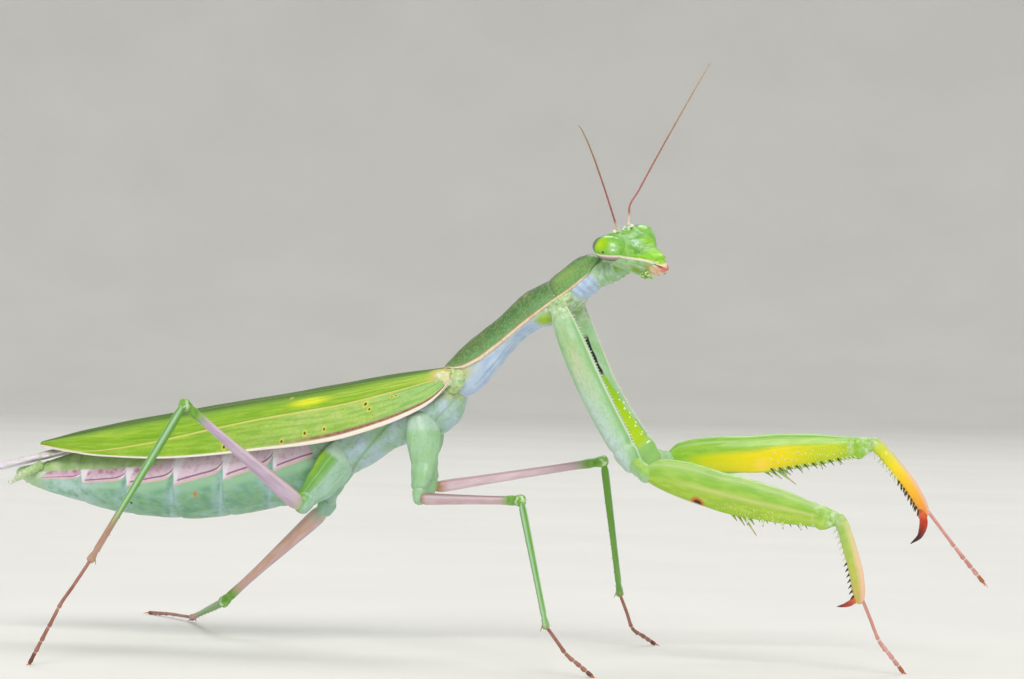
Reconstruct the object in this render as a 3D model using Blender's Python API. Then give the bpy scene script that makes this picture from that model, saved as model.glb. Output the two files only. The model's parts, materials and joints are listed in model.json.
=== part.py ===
"""A praying mantis at life size, standing still with both fore legs reaching out.

The mantis heads along +X with its left side at +Y, and its feet rest on z = 0. The sizes below are
in millimetres, and MM turns them into metres as each mesh is made. Every part of the body is one
closed solid. Where two parts meet, the outer one is cut back from the inner one by GAP.
"""

import math

import bmesh
import bpy
import numpy as np
from mathutils import Matrix, Vector

MM = 0.001
GAP = 0.12

# The waist is where the long prothorax hinges on the rest of the trunk. Places along the trunk are
# counted forward from it, and heights are counted from the floor.
WAIST = Vector((-0.74, -1.42, 27.4))
NECKLINE = 20.3  # length of the prothorax, waist to neck
PROTHORAX_HEADING = (-13.5, 37.0)  # azimuth and elevation, degrees
HEAD_HEADING = (-26.0, -23.5)  # the way the mouth points
HEAD_ROLL = 16.5  # the left eye stands higher than the right one
EYES_FROM_NECKLINE = Vector((2.6, -0.35, 1.45))
EYE_PLACE = (0.34, 2.2, 0.05)  # middle of an eye: towards the mouth, across, and out of the face
EYE_RADII = (1.8, 1.3, 1.25)  # in the same order
EYE_LEAN = 33  # the eyes draw together towards the mouth, degrees
FORE_HIP = (14.7, 1.9, -2.0)  # along the prothorax, across, and above its axis
MID_HIP = (-2.75, 2.4, 22.4)  # from the waist, across, and above the floor
HIND_HIP = (-11.0, 2.5, 19.4)
FOOT_HEIGHT = 0.2  # middle of a foot above the floor: less than its radius, so it is flat below
TEGMEN_THICK = 0.5

COLOURS = {
    "eye": (0.42, 0.60, 0.05),
    "head": (0.42, 0.58, 0.22),
    "mouth": (0.72, 0.60, 0.48),
    "antenna": (0.50, 0.24, 0.16),
    "neck": (0.52, 0.66, 0.52),
    "trunk": (0.30, 0.46, 0.12),
    "abdomen": (0.38, 0.50, 0.38),
    "tegmen": (0.30, 0.44, 0.14),
    "hindwing": (0.66, 0.62, 0.68),
    "fore_leg": (0.45, 0.58, 0.30),
    "walking_leg": (0.46, 0.36, 0.28),
    "tarsus": (0.50, 0.34, 0.26),
}

rooms = {}


def heading(azimuth, elevation):
    """The unit vector that points that way, in degrees."""
    turn, rise = math.radians(azimuth), math.radians(elevation)
    return Vector((math.cos(rise) * math.cos(turn), math.cos(rise) * math.sin(turn), math.sin(rise)))


def axes(azimuth, elevation, roll=0.0):
    """Forward, left and up of something that heads that way, rolled about its own length."""
    forward = heading(azimuth, elevation)
    left = Vector((0, 0, 1)).cross(forward).normalized()
    up = forward.cross(left)
    turn = math.radians(roll)
    return (
        forward,
        left * math.cos(turn) + up * math.sin(turn),
        up * math.cos(turn) - left * math.sin(turn),
    )


def segment_frame(start, end):
    """Forward, left and up of a straight piece from start to end."""
    along = (end - start).normalized()
    left = Vector((0, 0, 1)).cross(along).normalized()
    return along, left, along.cross(left)


def smooth(*knots):
    """A curve through (place, value) knots that never overshoots them, flat beyond both ends."""
    places, values = np.array(sorted(knots), float).T
    steps, rises = np.diff(places), np.diff(values)
    grades = rises / steps
    slopes = np.concatenate([grades[:1], np.zeros(len(places) - 2), grades[-1:]])
    for i in range(1, len(places) - 1):
        before, after = grades[i - 1], grades[i]
        if before * after > 0:
            slopes[i] = 2 * before * after / (before + after)

    def value(place):
        place = min(max(place, places[0]), places[-1])
        i = min(max(int(np.searchsorted(places, place)) - 1, 0), len(steps) - 1)
        t = (place - places[i]) / steps[i]
        eased = t * t * (3 - 2 * t)
        bow = t * (1 - t) ** 2 * slopes[i] - t * t * (1 - t) * slopes[i + 1]
        return float(values[i] + rises[i] * eased + bow * steps[i])

    return value


def spread(start, end, count):
    return [start + (end - start) * i / (count - 1) for i in range(count)]


def skin(rings):
    """A bmesh through rings of points: each ring is bridged to the next, and the ends are filled."""
    mesh = bmesh.new()
    loops = []
    for ring in rings:
        corners = bmesh.ops.create_circle(mesh, segments=len(ring))["verts"]
        for corner, point in zip(corners, ring):
            corner.co = point
        loops.append([mesh.edges.get((corners[i - 1], corners[i])) for i in range(len(ring))])
    for near, far in zip(loops, loops[1:]):
        bmesh.ops.bridge_loops(mesh, edges=near + far)
    bmesh.ops.holes_fill(mesh, edges=loops[0] + loops[-1], sides=0)
    bmesh.ops.recalc_face_normals(mesh, faces=mesh.faces)
    return mesh


def girdle(centre, frame, half_width, top, seam, belly, sides, fullness=1.0):
    """A ring across the body: a dome from the seam up to top, and a rounded keel down to belly. The
    further fullness is below 1, the flatter the dome is on top and the steeper at its sides."""
    _, left, up = frame
    ring = []
    for i in range(sides):
        angle = 2 * math.pi * i / sides
        across, rise = math.cos(angle), math.sin(angle)
        if rise > 0:
            across = math.copysign(abs(across) ** fullness, across)
            rise = rise**fullness
        height = seam + rise * (top - seam if rise > 0 else seam - belly)
        ring.append(centre + left * across * half_width + up * height)
    return ring


def add_solid(name, mesh, colour):
    """The bmesh, in millimetres, as a named object in metres with its own material."""
    bmesh.ops.scale(mesh, vec=(MM, MM, MM), verts=mesh.verts)
    data = bpy.data.meshes.new(name)
    mesh.to_mesh(data)
    mesh.free()
    data.shade_smooth()
    finish = bpy.data.materials.new(name)
    finish.use_nodes = True
    surface = finish.node_tree.nodes["Principled BSDF"]
    surface.inputs["Base Color"].default_value = (*COLOURS[colour], 1)
    surface.inputs["Roughness"].default_value = 0.25 if colour == "eye" else 0.5
    surface.inputs["Metallic"].default_value = 0.0
    data.materials.append(finish)
    solid = bpy.data.objects.new(name, data)
    bpy.context.collection.objects.link(solid)
    return solid


def hide_helper(helper):
    helper.hide_render = True
    helper.display_type = "WIRE"


def room_for(solid):
    """A hidden copy of the solid that stands GAP outside it, to cut its neighbours back with."""
    if solid.name not in rooms:
        mesh = bmesh.new()
        mesh.from_mesh(solid.data)
        mesh.normal_update()
        for corner in mesh.verts:
            corner.co += corner.normal * GAP * MM
        data = bpy.data.meshes.new(solid.name + "_room")
        mesh.to_mesh(data)
        mesh.free()
        room = bpy.data.objects.new(data.name, data)
        bpy.context.collection.objects.link(room)
        hide_helper(room)
        rooms[solid.name] = room
    return rooms[solid.name]


def cut_back(solid, *neighbours):
    for neighbour in neighbours:
        cut = solid.modifiers.new("clear of " + neighbour.name, "BOOLEAN")
        cut.operation = "DIFFERENCE"
        cut.object = room_for(neighbour)


def grow_on(solid, helper):
    """Joins the helper's shapes, such as spines, to the solid."""
    hide_helper(helper)
    join = solid.modifiers.new("with " + helper.name, "BOOLEAN")
    join.operation = "UNION"
    join.use_self = True
    join.object = helper


def tube(name, spine, radii, colour, flatness=1.0, up=Vector((0, 0, 1)), sides=8, floor=None,
         crown=None):
    """A round-ended tube along spine, a list of points. radii(t) is half its depth along it, and
    flatness its width over its depth. crown(t) adds to its upper edge. Where floor is given, what
    would reach below is pressed flat."""
    lengths = [0.0]
    for near, far in zip(spine, spine[1:]):
        lengths.append(lengths[-1] + (far - near).length)
    rings = []
    for i, point in enumerate(spine):
        along = (spine[min(i + 1, len(spine) - 1)] - spine[max(i - 1, 0)]).normalized()
        left = up.cross(along).normalized()
        frame = (along, left, along.cross(left))
        radius = radii(lengths[i] / lengths[-1])
        rise = crown(lengths[i] / lengths[-1]) if crown else 0.0
        stations = [(0.0, 1.0)]
        rounding = [(0.4, 0.88), (0.8, 0.5)] if sides > 8 else [(0.6, 0.7)]
        if i == 0:
            stations = [(-beyond, share) for beyond, share in reversed(rounding)] + stations
        if i == len(spine) - 1:
            stations = stations + rounding
        for beyond, share in stations:
            half = radius * share
            centre = point + along * radius * beyond
            rings.append(girdle(centre, frame, half * flatness, half + rise * share, 0.0, -half, sides))
    if floor is not None:
        rings = [[Vector((p.x, p.y, max(p.z, floor))) for p in ring] for ring in rings]
    return add_solid(name, skin(rings), colour)


def on_bow(start, end, bow, t):
    """The point a share t of the way from start to end, on a line that stands off by bow half way."""
    return start.lerp(end, t) + bow * 4 * t * (1 - t)


def bent(points, count):
    """An even run of points along a smooth curve through the given ones."""
    lengths = [0.0]
    for near, far in zip(points, points[1:]):
        lengths.append(lengths[-1] + (far - near).length)
    curves = [smooth(*zip(lengths, [p[k] for p in points])) for k in range(3)]
    return [Vector([curve(s) for curve in curves]) for s in spread(0.0, lengths[-1], count)]


def arc(start, first, last, haste, length, count):
    """Points along a feeler that sets off in one heading and ends in another. The smaller haste is,
    the nearer to its root the feeler turns."""
    points = [start]
    step = length / (count - 1)
    for t in spread(0.0, 1.0, count - 1):
        way = [a + (b - a) * t**haste for a, b in zip(first, last)]
        points.append(points[-1] + heading(*way) * step)
    return points


def spines(name, rows, colour):
    """Cones, one for each (root, direction, length, radius), set a little into what carries them."""
    mesh = bmesh.new()
    for root, way, length, radius in rows:
        turn = way.to_track_quat("Z", "Y").to_matrix().to_4x4()
        place = Matrix.Translation(root + way * length * 0.5) @ turn
        bmesh.ops.create_cone(
            mesh, cap_ends=True, segments=4, radius1=radius, radius2=0.0, depth=length, matrix=place
        )
    return add_solid(name, mesh, colour)


def clear_scene():
    for item in list(bpy.data.objects):
        bpy.data.objects.remove(item)


# ---- Trunk ----

RIDGE = smooth((0.6, 28.7), (-5.5, 27.8), (-16, 25.8), (-26.5, 23.9), (-37.5, 21.7), (-43.6, 20.1))
WING_EDGE = smooth((0.6, 27.6), (0, 26.4), (-1.4, 24.9), (-3.4, 23.7), (-6.4, 22.4), (-11.4, 20.9),
                   (-16.6, 20.1), (-30.6, 18.8), (-35, 18.9), (-43.6, 19.8))
WING_SPREAD = smooth((0.6, 2.7), (-3, 3.6), (-10, 4.7), (-18, 5.3), (-26, 5.4), (-34, 4.7), (-40, 3.2),
                     (-43.6, 0.9))
BELLY = smooth((-12.5, 15.4), (-16.8, 14.3), (-24.2, 12.9), (-28, 12.6), (-34, 12.95), (-39.4, 14.05),
               (-43.2, 15.0), (-46.2, 15.4))
FIRST_JOINT, SEGMENT, LAST_JOINT = -17.4, 5.25, -38.4  # the rings of the abdomen


def trunk_point(forward, across, height):
    return Vector((WAIST.x + forward, WAIST.y + across, height))


def make_thorax():
    frame = axes(0, 0)
    widths = smooth((1.3, 1.2), (0.4, 1.9), (-2.5, 2.6), (-7, 3.1), (-14, 3.3), (-14.6, 2.4))
    bottoms = smooth((1.3, 24.2), (0.4, 22.7), (-0.8, 21.9), (-5.3, 20.5), (-9, 18.2), (-13, 16.8),
                     (-14.6, 18.0))
    tops = smooth((1.3, 26.8), (0.2, 27.6), (-6, 26.4), (-13, 25.0), (-14.6, 23.8))
    seams = smooth((1.3, 25.9), (-3, 24.0), (-14.6, 21.0))
    rings = [
        girdle(trunk_point(x, 0, 0), frame, widths(x), tops(x), seams(x), bottoms(x), 16)
        for x in (1.3, 0.9, 0.2, -1, -3, -5, -7, -9, -11, -13, -14, -14.6)
    ]
    return add_solid("thorax", skin(rings), "trunk")


def make_abdomen():
    """The abdomen narrows a little at each joint between its segments."""
    frame = axes(0, 0)
    end = smooth((-12.4, 0.55), (-13.4, 0.85), (-15, 1.0), (-41, 1.0), (-43.8, 0.8), (-46.2, 0.4))
    places = [-12.4, -13.2, -14.6]
    joint = FIRST_JOINT
    while joint > LAST_JOINT - 0.1:
        places += [joint + 0.5, joint, joint - SEGMENT / 2]
        joint -= SEGMENT
    places += [-42.6, -44.4, -45.7, -46.2]
    rings = []
    for x in places:
        at_joint = abs((x - FIRST_JOINT + SEGMENT / 2) % SEGMENT - SEGMENT / 2) < 0.1
        pinch = 0.965 if at_joint and LAST_JOINT - 1 < x < FIRST_JOINT + 1 else 1.0
        top = RIDGE(x) - 2.0
        seam = BELLY(x) + (top - BELLY(x)) * 0.55
        wide = max(WING_SPREAD(x) - 1.35, 1.6) * end(x) * pinch
        rings.append(
            girdle(
                trunk_point(x, 0, 0), frame, wide, seam + (top - seam) * end(x), seam,
                seam - (seam - BELLY(x)) * min(end(x) * 1.15, 1.0) * pinch, 16,
            )
        )
    return add_solid("abdomen", skin(rings), "abdomen")


def wing_sheet(name, columns, rows, surface, thickness, colour):
    """A closed sheet: surface(u, v) gives its outer side, and its thickness is laid inside."""
    mesh = bmesh.new()
    bmesh.ops.create_grid(mesh, x_segments=columns, y_segments=rows, size=1.0)
    for corner in mesh.verts:
        corner.co = surface((corner.co.x + 1) / 2, (corner.co.y + 1) / 2)
    bmesh.ops.recalc_face_normals(mesh, faces=mesh.faces)
    middle = sorted(mesh.faces, key=lambda face: face.calc_center_median().x)[len(mesh.faces) // 2]
    if middle.normal.z < 0:
        bmesh.ops.reverse_faces(mesh, faces=mesh.faces)
    bmesh.ops.solidify(mesh, geom=mesh.faces, thickness=thickness)
    bmesh.ops.recalc_face_normals(mesh, faces=mesh.faces)
    return add_solid(name, mesh, colour)


def make_tegmen(side, name):
    """A leathery fore wing: it lies from the middle of the back down to the flank, and tapers back."""

    def surface(u, v):
        x = 0.5 - 44.0 * (1 - (1 - u) ** 1.3)
        angle = math.radians(90) * v
        across = 0.1 + (WING_SPREAD(x) - 0.1) * math.sin(angle)
        height = WING_EDGE(x) + (RIDGE(x) - WING_EDGE(x)) * math.cos(angle) ** 0.9
        return trunk_point(x, side * across, height)

    return wing_sheet(name, 13, 5, surface, TEGMEN_THICK, "tegmen")


def make_hindwing(side, name):
    """The folded hind wing lies under the fore wing, and its tip stands out behind it."""
    reach = smooth((-14, 2.2), (-30, 2.9), (-38, 2.3), (-43.6, 1.7), (-47, 1.6), (-49.4, 1.2), (-50.4, 0.6))
    heights = smooth((-14, 25.3), (-26, 23.15), (-37.5, 20.8), (-41, 19.6), (-43.6, 18.95), (-50.4, 17.2))

    def surface(u, v):
        x = -14.0 - 36.4 * (1 - (1 - u) ** 1.4)
        across = 0.25 + (reach(x) - 0.25) * v
        return trunk_point(x, side * across, heights(x) - 0.55 * v * v)

    return wing_sheet(name, 9, 2, surface, TEGMEN_THICK, "hindwing")


def make_cercus(side, name):
    root = trunk_point(-43.4, side * 1.3, 17.6)
    tip = trunk_point(-46.2, side * 2.3, 15.9)
    return tube(name, bent([root, root.lerp(tip, 0.5) + Vector((0, side * 0.3, 0)), tip], 5),
                smooth((0, 0.5), (0.5, 0.42), (1, 0.25)), "abdomen", sides=6)


# ---- Prothorax, neck and head ----

PROTHORAX = axes(*PROTHORAX_HEADING)
NECK_END = WAIST + PROTHORAX[0] * NECKLINE
HEAD = axes(*HEAD_HEADING, HEAD_ROLL)
HEAD_MIDDLE = NECK_END + EYES_FROM_NECKLINE


def on_prothorax(along, across, above):
    forward, left, up = PROTHORAX
    return WAIST + forward * along + left * across + up * above


def on_head(towards_mouth, across, out):
    forward, left, up = HEAD
    return HEAD_MIDDLE + forward * towards_mouth + left * across + up * out


def make_prothorax():
    """The pronotum is a long shield, broadest over the fore hips, with a groove behind the neck."""
    widths = smooth((-0.7, 0.7), (0.3, 1.7), (3, 1.65), (6.5, 1.5), (9, 1.65), (12, 2.1), (14, 2.35),
                    (17, 1.95), (19.3, 1.6), (20.6, 0.8))
    tops = smooth((-0.7, 0.4), (0.6, 1.5), (4, 1.8), (7.5, 1.7), (11.6, 1.95), (14.6, 1.35), (17.6, 1.3),
                  (19.4, 1.0), (20.6, 0.1))
    seams = smooth((-0.7, -0.4), (2, -0.8), (9, -0.95), (13, -1.25), (17, -1.35), (20.6, -1.0))
    bellies = smooth((-0.7, -2.2), (1.7, -2.7), (5.3, -2.1), (8.3, -1.5), (10.5, -1.6), (12, -2.1),
                     (14, -2.5), (18.5, -2.5), (20.6, -1.9))
    rings = [
        girdle(on_prothorax(s, 0, 0), PROTHORAX, widths(s), tops(s), seams(s), bellies(s), 16)
        for s in (-0.7, -0.3, 0.6, 2, 4, 6.5, 8.5, 10.5, 12.2, 13.8, 15.4, 17, 18.6, 19.8, 20.6)
    ]
    return add_solid("prothorax", skin(rings), "trunk")


def make_neck():
    start = on_prothorax(18.4, 0, -1.0)
    end = on_head(1.1, 0, -1.3)
    return tube("neck", bent([start, start.lerp(end, 0.5) + Vector((0, 0, -0.3)), end], 5),
                smooth((0, 1.4), (0.6, 1.5), (1, 1.2)), "neck", sides=12)


def make_head():
    """Seen from the front the head is a triangle, with an eye at each upper corner."""
    widths = smooth((-1.6, 1.0), (-1.2, 1.8), (-0.5, 2.5), (0.3, 2.75), (1.0, 2.6), (1.9, 2.2),
                    (2.7, 1.8), (3.8, 1.3), (4.8, 0.95))
    tops = smooth((-1.6, -0.1), (-1.1, 0.4), (-0.6, 0.9), (-0.3, 1.05), (1.0, 1.0), (2.5, 0.85), (4.8, 0.5))
    seams = smooth((-1.6, -0.3), (0, -0.6), (1.9, -0.5), (2.9, -0.3), (4.8, 0.1))
    bellies = smooth((-1.6, -0.8), (-0.8, -1.5), (0, -1.9), (1.5, -2.3), (2.8, -2.3), (3.8, -1.7),
                     (4.8, -0.7))
    rings = [
        girdle(on_head(s, 0, 0), HEAD, widths(s), tops(s), seams(s), bellies(s), 16, 0.72)
        for s in (-1.6, -1.3, -0.8, -0.1, 0.6, 1.4, 2.2, 3.0, 3.8, 4.4, 4.8)
    ]
    return add_solid("head", skin(rings), "head")


def make_eye(side, name):
    """An egg-shaped eye that wraps round the upper corner of the head."""
    mesh = bmesh.new()
    forward, left, up = HEAD
    turned = Matrix((forward, left, up)).transposed().to_4x4()
    down, across, out = EYE_PLACE
    place = Matrix.Translation(on_head(down, side * across, out)) @ turned
    lean = Matrix.Rotation(math.radians(-EYE_LEAN * side), 4, "Z")
    shape = Matrix.Diagonal((*EYE_RADII, 1))
    bmesh.ops.create_uvsphere(
        mesh, u_segments=14, v_segments=9, radius=1.0, matrix=place @ lean @ shape
    )
    return add_solid(name, mesh, "eye")


def make_mouthparts():
    """Upper lip and mandibles in one wedge, with the two palps below it."""
    widths = smooth((3.9, 0.7), (4.6, 0.98), (5.4, 0.78), (6.1, 0.35))
    tops = smooth((3.9, 0.3), (4.8, 0.42), (5.6, 0.22), (6.1, -0.15))
    bellies = smooth((3.9, -1.7), (4.8, -1.5), (5.4, -1.2), (6.1, -0.6))
    rings = [
        girdle(on_head(s, 0, 0), HEAD, widths(s), tops(s), -0.3, bellies(s), 10)
        for s in (3.9, 4.4, 5.0, 5.5, 5.9, 6.1)
    ]
    mouth = add_solid("mouthparts", skin(rings), "mouth")
    for side, label in ((1, "left"), (-1, "right")):
        path = [on_head(4.4, side * 0.5, -0.9), on_head(4.3, side * 1.0, -1.25),
                on_head(5.0, side * 0.9, -1.4)]
        palp = tube("palp_" + label, bent(path, 4), smooth((0, 0.26), (1, 0.25)), "mouth", sides=6)
        grow_on(mouth, palp)
    return mouth


def make_antenna(side, name, first, last, haste):
    """A thin feeler on a thicker root segment."""
    root = on_head(-0.27, side * 0.68, 1.05)
    thickness = smooth((0, 0.36), (0.06, 0.34), (0.1, 0.27), (1, 0.25))
    return tube(name, arc(root, first, last, haste, 18.6, 10), thickness, "antenna", sides=6,
                up=Vector((1, 0, 0)))


# ---- Legs ----
# Each leg is a chain: (length, azimuth, elevation) for coxa, trochanter, femur and tibia, then the
# long first joint of the tarsus, and the last joints, which run to the floor where they stand on it.

LEGS = {
    ("fore", "right"): ((16.9, 7.5, -63.5), (2.7, -47.5, -20.5), (20.3, -11.5, -10.5),
                        (8.4, 59, -66.5), (4.5, 35, -61), (4.2, 46.5, None)),
    ("fore", "left"): ((16.9, 37, -60.5), (2.7, 65, -9), (20.4, 13, 5.5),
                       (8.5, 6, -51), (4.9, 8.5, -48), (4.2, 26, -49)),
    ("mid", "right"): ((5.8, -65, -78), (1.3, -55, -80), (18.4, -42, 2),
                       (13.9, -57, -54.5), (3.4, 40, -51), (3.1, 5, None)),
    ("mid", "left"): ((4.9, 94, -83.5), (1.3, 144.5, -77), (18.4, 29.5, 9),
                      (13.9, 58.5, -79), (4.2, 59.5, -61), (3.6, 59, None)),
    ("hind", "right"): ((4.8, -154, -54.5), (1.4, -136.5, -51.5), (18.2, -122, 34),
                        (19.2, -114, -50), (6.2, -115, -47.5), (5.9, 168.5, None)),
    ("hind", "left"): ((5.1, 168.5, -60), (1.3, 175, -63.5), (18.2, 151.5, -34.5),
                       (18.3, 120, -9.3), (6.8, 130, -1), (5.6, 135, None)),
}
COXA_SAG = {"left": 1.6, "right": 0.75}  # how far down the middle of a fore coxa stands off
TIBIA_BOW = 0.5  # and how far out that of a fore tibia does
FEMUR_CROWN = smooth((0, 0.2), (0.06, 0.7), (0.2, 0.5), (0.45, -0.1), (0.7, -0.12), (0.94, -0.2), (1, 0.0))
CLAW_REACH = {"left": 1.9, "right": 0.9}  # how far the claw runs on before it turns in
# Half the depth of each segment along it, and its width over its depth.
SHAPES = {
    "fore": {
        "coxa": (smooth((0, 0.8), (0.12, 1.38), (0.3, 1.68), (0.55, 1.58), (0.85, 1.34), (1, 1.0)), 0.62),
        "trochanter": (smooth((0, 0.5), (0.4, 0.9), (1, 0.85)), 0.8),
        "femur": (smooth((0, 0.6), (0.06, 1.0), (0.15, 1.38), (0.3, 1.75), (0.48, 1.97), (0.7, 1.7),
                         (0.86, 1.3), (0.94, 1.32), (1, 0.9)), 0.55),
        "tibia": (smooth((0, 0.4), (0.12, 0.62), (0.6, 0.74), (0.85, 0.7), (1, 0.5)), 0.75),
        "tarsus": (smooth((0, 0.26), (0.5, 0.27), (0.56, 0.32), (0.9, 0.3), (1, 0.27)), 1.0),
    },
    "mid": {
        "coxa": (smooth((0, 0.75), (0.3, 1.03), (1, 0.7)), 0.9),
        "trochanter": (smooth((0, 0.4), (0.4, 0.62), (1, 0.55)), 0.9),
        "femur": (smooth((0, 0.35), (0.08, 0.6), (0.3, 0.52), (0.8, 0.42), (0.95, 0.52), (1, 0.55)), 0.8),
        "tibia": (smooth((0, 0.28), (0.1, 0.38), (0.8, 0.3), (1, 0.33)), 0.9),
        "tarsus": (smooth((0, 0.26), (0.5, 0.28), (0.9, 0.3), (1, 0.27)), 1.0),
    },
    "hind": {
        "coxa": (smooth((0, 0.9), (0.3, 1.2), (1, 0.85)), 0.85),
        "trochanter": (smooth((0, 0.5), (0.4, 0.78), (1, 0.68)), 0.9),
        "femur": (smooth((0, 0.6), (0.08, 0.88), (0.3, 0.74), (0.8, 0.45), (0.95, 0.52), (1, 0.56)), 0.8),
        "tibia": (smooth((0, 0.3), (0.1, 0.42), (0.8, 0.28), (1, 0.32)), 0.9),
        "tarsus": (smooth((0, 0.26), (0.5, 0.27), (0.9, 0.3), (1, 0.27)), 1.0),
    },
}
RINGS = {"coxa": 5, "trochanter": 3, "femur": 7, "tibia": 4}
RING_BIAS = 1.25  # above 1, the rings of a segment stand closer together near its root


def hip_of(pair, side):
    if pair == "fore":
        along, across, above = FORE_HIP
        return on_prothorax(along, side * across, above)
    along, across, height = MID_HIP if pair == "mid" else HIND_HIP
    return trunk_point(along, side * across, height)


def joints_of(pair, side, chain):
    """The hip, the joints along the leg, and the tip of its foot."""
    points = [hip_of(pair, side)]
    for length, azimuth, elevation in chain:
        if elevation is None:
            drop = (FOOT_HEIGHT - points[-1].z) / length
            elevation = math.degrees(math.asin(max(drop, -1)))
        points.append(points[-1] + heading(azimuth, elevation) * length)
    return points


def femur_spines(start, end, side, name):
    """Two rows of spines along the lower edge, and three long ones near the middle."""
    along, left, up = segment_frame(start, end)
    length = (end - start).length
    rows = []
    for place, size in ((0.5, 1.8), (0.6, 1.5), (0.71, 1.35), (0.8, 1.2)):
        root = start + along * place * length + left * side * 0.5 - up * (1.62 - 1.1 * (place - 0.5))
        way = (along * 0.45 - up + left * side * 0.15).normalized()
        rows.append((root + up * 0.5, way, size + 0.5, 0.26))
    for i, place in enumerate(spread(0.52, 0.88, 7)):
        root = start + along * place * length - left * side * 0.5 - up * (1.6 - 1.3 * (place - 0.5))
        size = 1.5 if i % 2 else 1.1
        way = (along * 0.5 - up - left * side * 0.15).normalized()
        rows.append((root + up * 0.5, way, size + 0.5, 0.24))
    for place, size in ((0.4, 1.2), (0.46, 2.6)):
        root = start + along * place * length - up * 1.3
        rows.append((root, (along * 0.8 - up).normalized(), size + 0.6, 0.25))
    return spines(name, rows, "fore_leg")


def facing_femur(joints):
    """The way, square to the fore tibia, that its spined edge faces."""
    along = (joints[4] - joints[3]).normalized()
    femur = joints[3] - joints[2]
    return (along * femur.dot(along) - femur).normalized()


def tibia_spines(start, end, side, inner, name):
    """Two combs of spines on the edge that closes against the femur."""
    along, left, _ = segment_frame(start, end)
    rows = []
    for row in (-1, 1):
        for place in spread(0.24 + row * 0.035, 0.88 + row * 0.035, 6):
            root = on_bow(start, end, inner * -TIBIA_BOW, place) + left * row * side * 0.22 + inner * 0.2
            rows.append((root, (inner + along * 0.55 + left * row * side * 0.15).normalized(), 1.25, 0.22))
    return spines(name, rows, "fore_leg")


def make_fore_leg(side, label, parts, joints):
    knee, wrist = joints[3], joints[4]
    grow_on(parts["femur"], femur_spines(joints[2], knee, side, "femur_spines_" + label))
    along, inner = (wrist - knee).normalized(), facing_femur(joints)
    grow_on(parts["tibia"], tibia_spines(knee, wrist, side, inner, "tibia_spines_" + label))
    root = wrist - along * 0.4 + inner * 0.1
    reach = CLAW_REACH[label]
    claw_path = bent([root, root + along * reach * 0.6 + inner * 0.6, root + along * reach + inner * 1.6,
                      root + along * (reach + 0.1) + inner * 2.9], 6)
    claw = tube("claw_" + label, claw_path, smooth((0, 0.42), (0.35, 0.42), (0.8, 0.2), (1, 0.07)),
                "fore_leg", up=along.cross(inner), sides=6)
    grow_on(parts["tibia"], claw)
    return claw


def make_leg(pair, label, chain):
    side = 1 if label == "left" else -1
    joints = joints_of(pair, side, chain)
    colour, sides, bows = "walking_leg", 8, {}
    if pair == "fore":
        colour, sides = "fore_leg", 10
        bows["coxa"] = segment_frame(*joints[:2])[2] * -COXA_SAG[label]
        bows["tibia"] = facing_femur(joints) * -TIBIA_BOW
    parts = {}
    for i, segment in enumerate(("coxa", "trochanter", "femur", "tibia")):
        radii, flatness = SHAPES[pair][segment]
        path = [
            on_bow(joints[i], joints[i + 1], bows.get(segment, Vector()), t)
            for t in (share**RING_BIAS for share in spread(0.0, 1.0, RINGS[segment]))
        ]
        crown = FEMUR_CROWN if (pair, segment) == ("fore", "femur") else None
        parts[segment] = tube(f"{segment}_{pair}_{label}", path, radii, colour, flatness, sides=sides,
                              crown=crown)
    radii, flatness = SHAPES[pair]["tarsus"]
    start, ankle, tip = joints[4:]
    if pair == "fore":
        start = start - facing_femur(joints) * 0.35
    path = [start, start.lerp(ankle, 0.5), ankle, ankle.lerp(tip, 0.5), tip]
    parts["tarsus"] = tube(f"tarsus_{pair}_{label}", bent(path, 7), radii, "tarsus", flatness,
                           sides=8, floor=0.0)
    if pair == "fore":
        cut_back(parts["tarsus"], make_fore_leg(side, label, parts, joints))
    chain_order = list(parts.values())
    for inner, outer in zip(chain_order, chain_order[1:]):
        cut_back(outer, inner)
    return parts


def make_mantis():
    thorax, abdomen, prothorax, head = make_thorax(), make_abdomen(), make_prothorax(), make_head()
    cut_back(thorax, prothorax)
    cut_back(abdomen, thorax)
    neck = make_neck()
    cut_back(neck, prothorax, head)
    mouth = make_mouthparts()
    cut_back(mouth, head)
    antenna_ways = {"left": ((8, 89), (31, 60), 0.05), "right": ((-96, 44), (-83, 5), 2.5)}
    for side, label in ((1, "left"), (-1, "right")):
        eye = make_eye(side, "eye_" + label)
        cut_back(head, eye)
        cut_back(make_antenna(side, "antenna_" + label, *antenna_ways[label]), head)
        tegmen = make_tegmen(side, "tegmen_" + label)
        cut_back(tegmen, thorax, prothorax, abdomen)
        hindwing = make_hindwing(side, "hindwing_" + label)
        cut_back(hindwing, thorax, abdomen, tegmen)
        cut_back(make_cercus(side, "cercus_" + label), abdomen, hindwing)
        for pair in ("fore", "mid", "hind"):
            parts = make_leg(pair, label, LEGS[pair, label])
            carrier = prothorax if pair == "fore" else thorax
            cut_back(parts["coxa"], carrier)
            if pair == "hind":
                cut_back(parts["coxa"], abdomen)
                cut_back(parts["trochanter"], abdomen)
            if pair == "fore":
                cut_back(parts["coxa"], neck)


clear_scene()
make_mantis()
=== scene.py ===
"""The looks of a praying mantis at life size: shell plates, wings, eyes, feelers, legs and their finishes.

Sizes are in millimetres, in the frame of the solids, and MM turns them into metres as each mesh is made.
The mantis heads along +X with its left side at +Y. Each piece carries its own measure, called "place":
how far along, to the left of and above its own axes a point lies. Its markings are painted by that measure
and by a UV map that holds the distance along the piece and the share of the way round it.
"""

import json
import math
from functools import reduce

import bmesh
import bpy
import numpy as np
from mathutils import Matrix, Vector, noise

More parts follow.
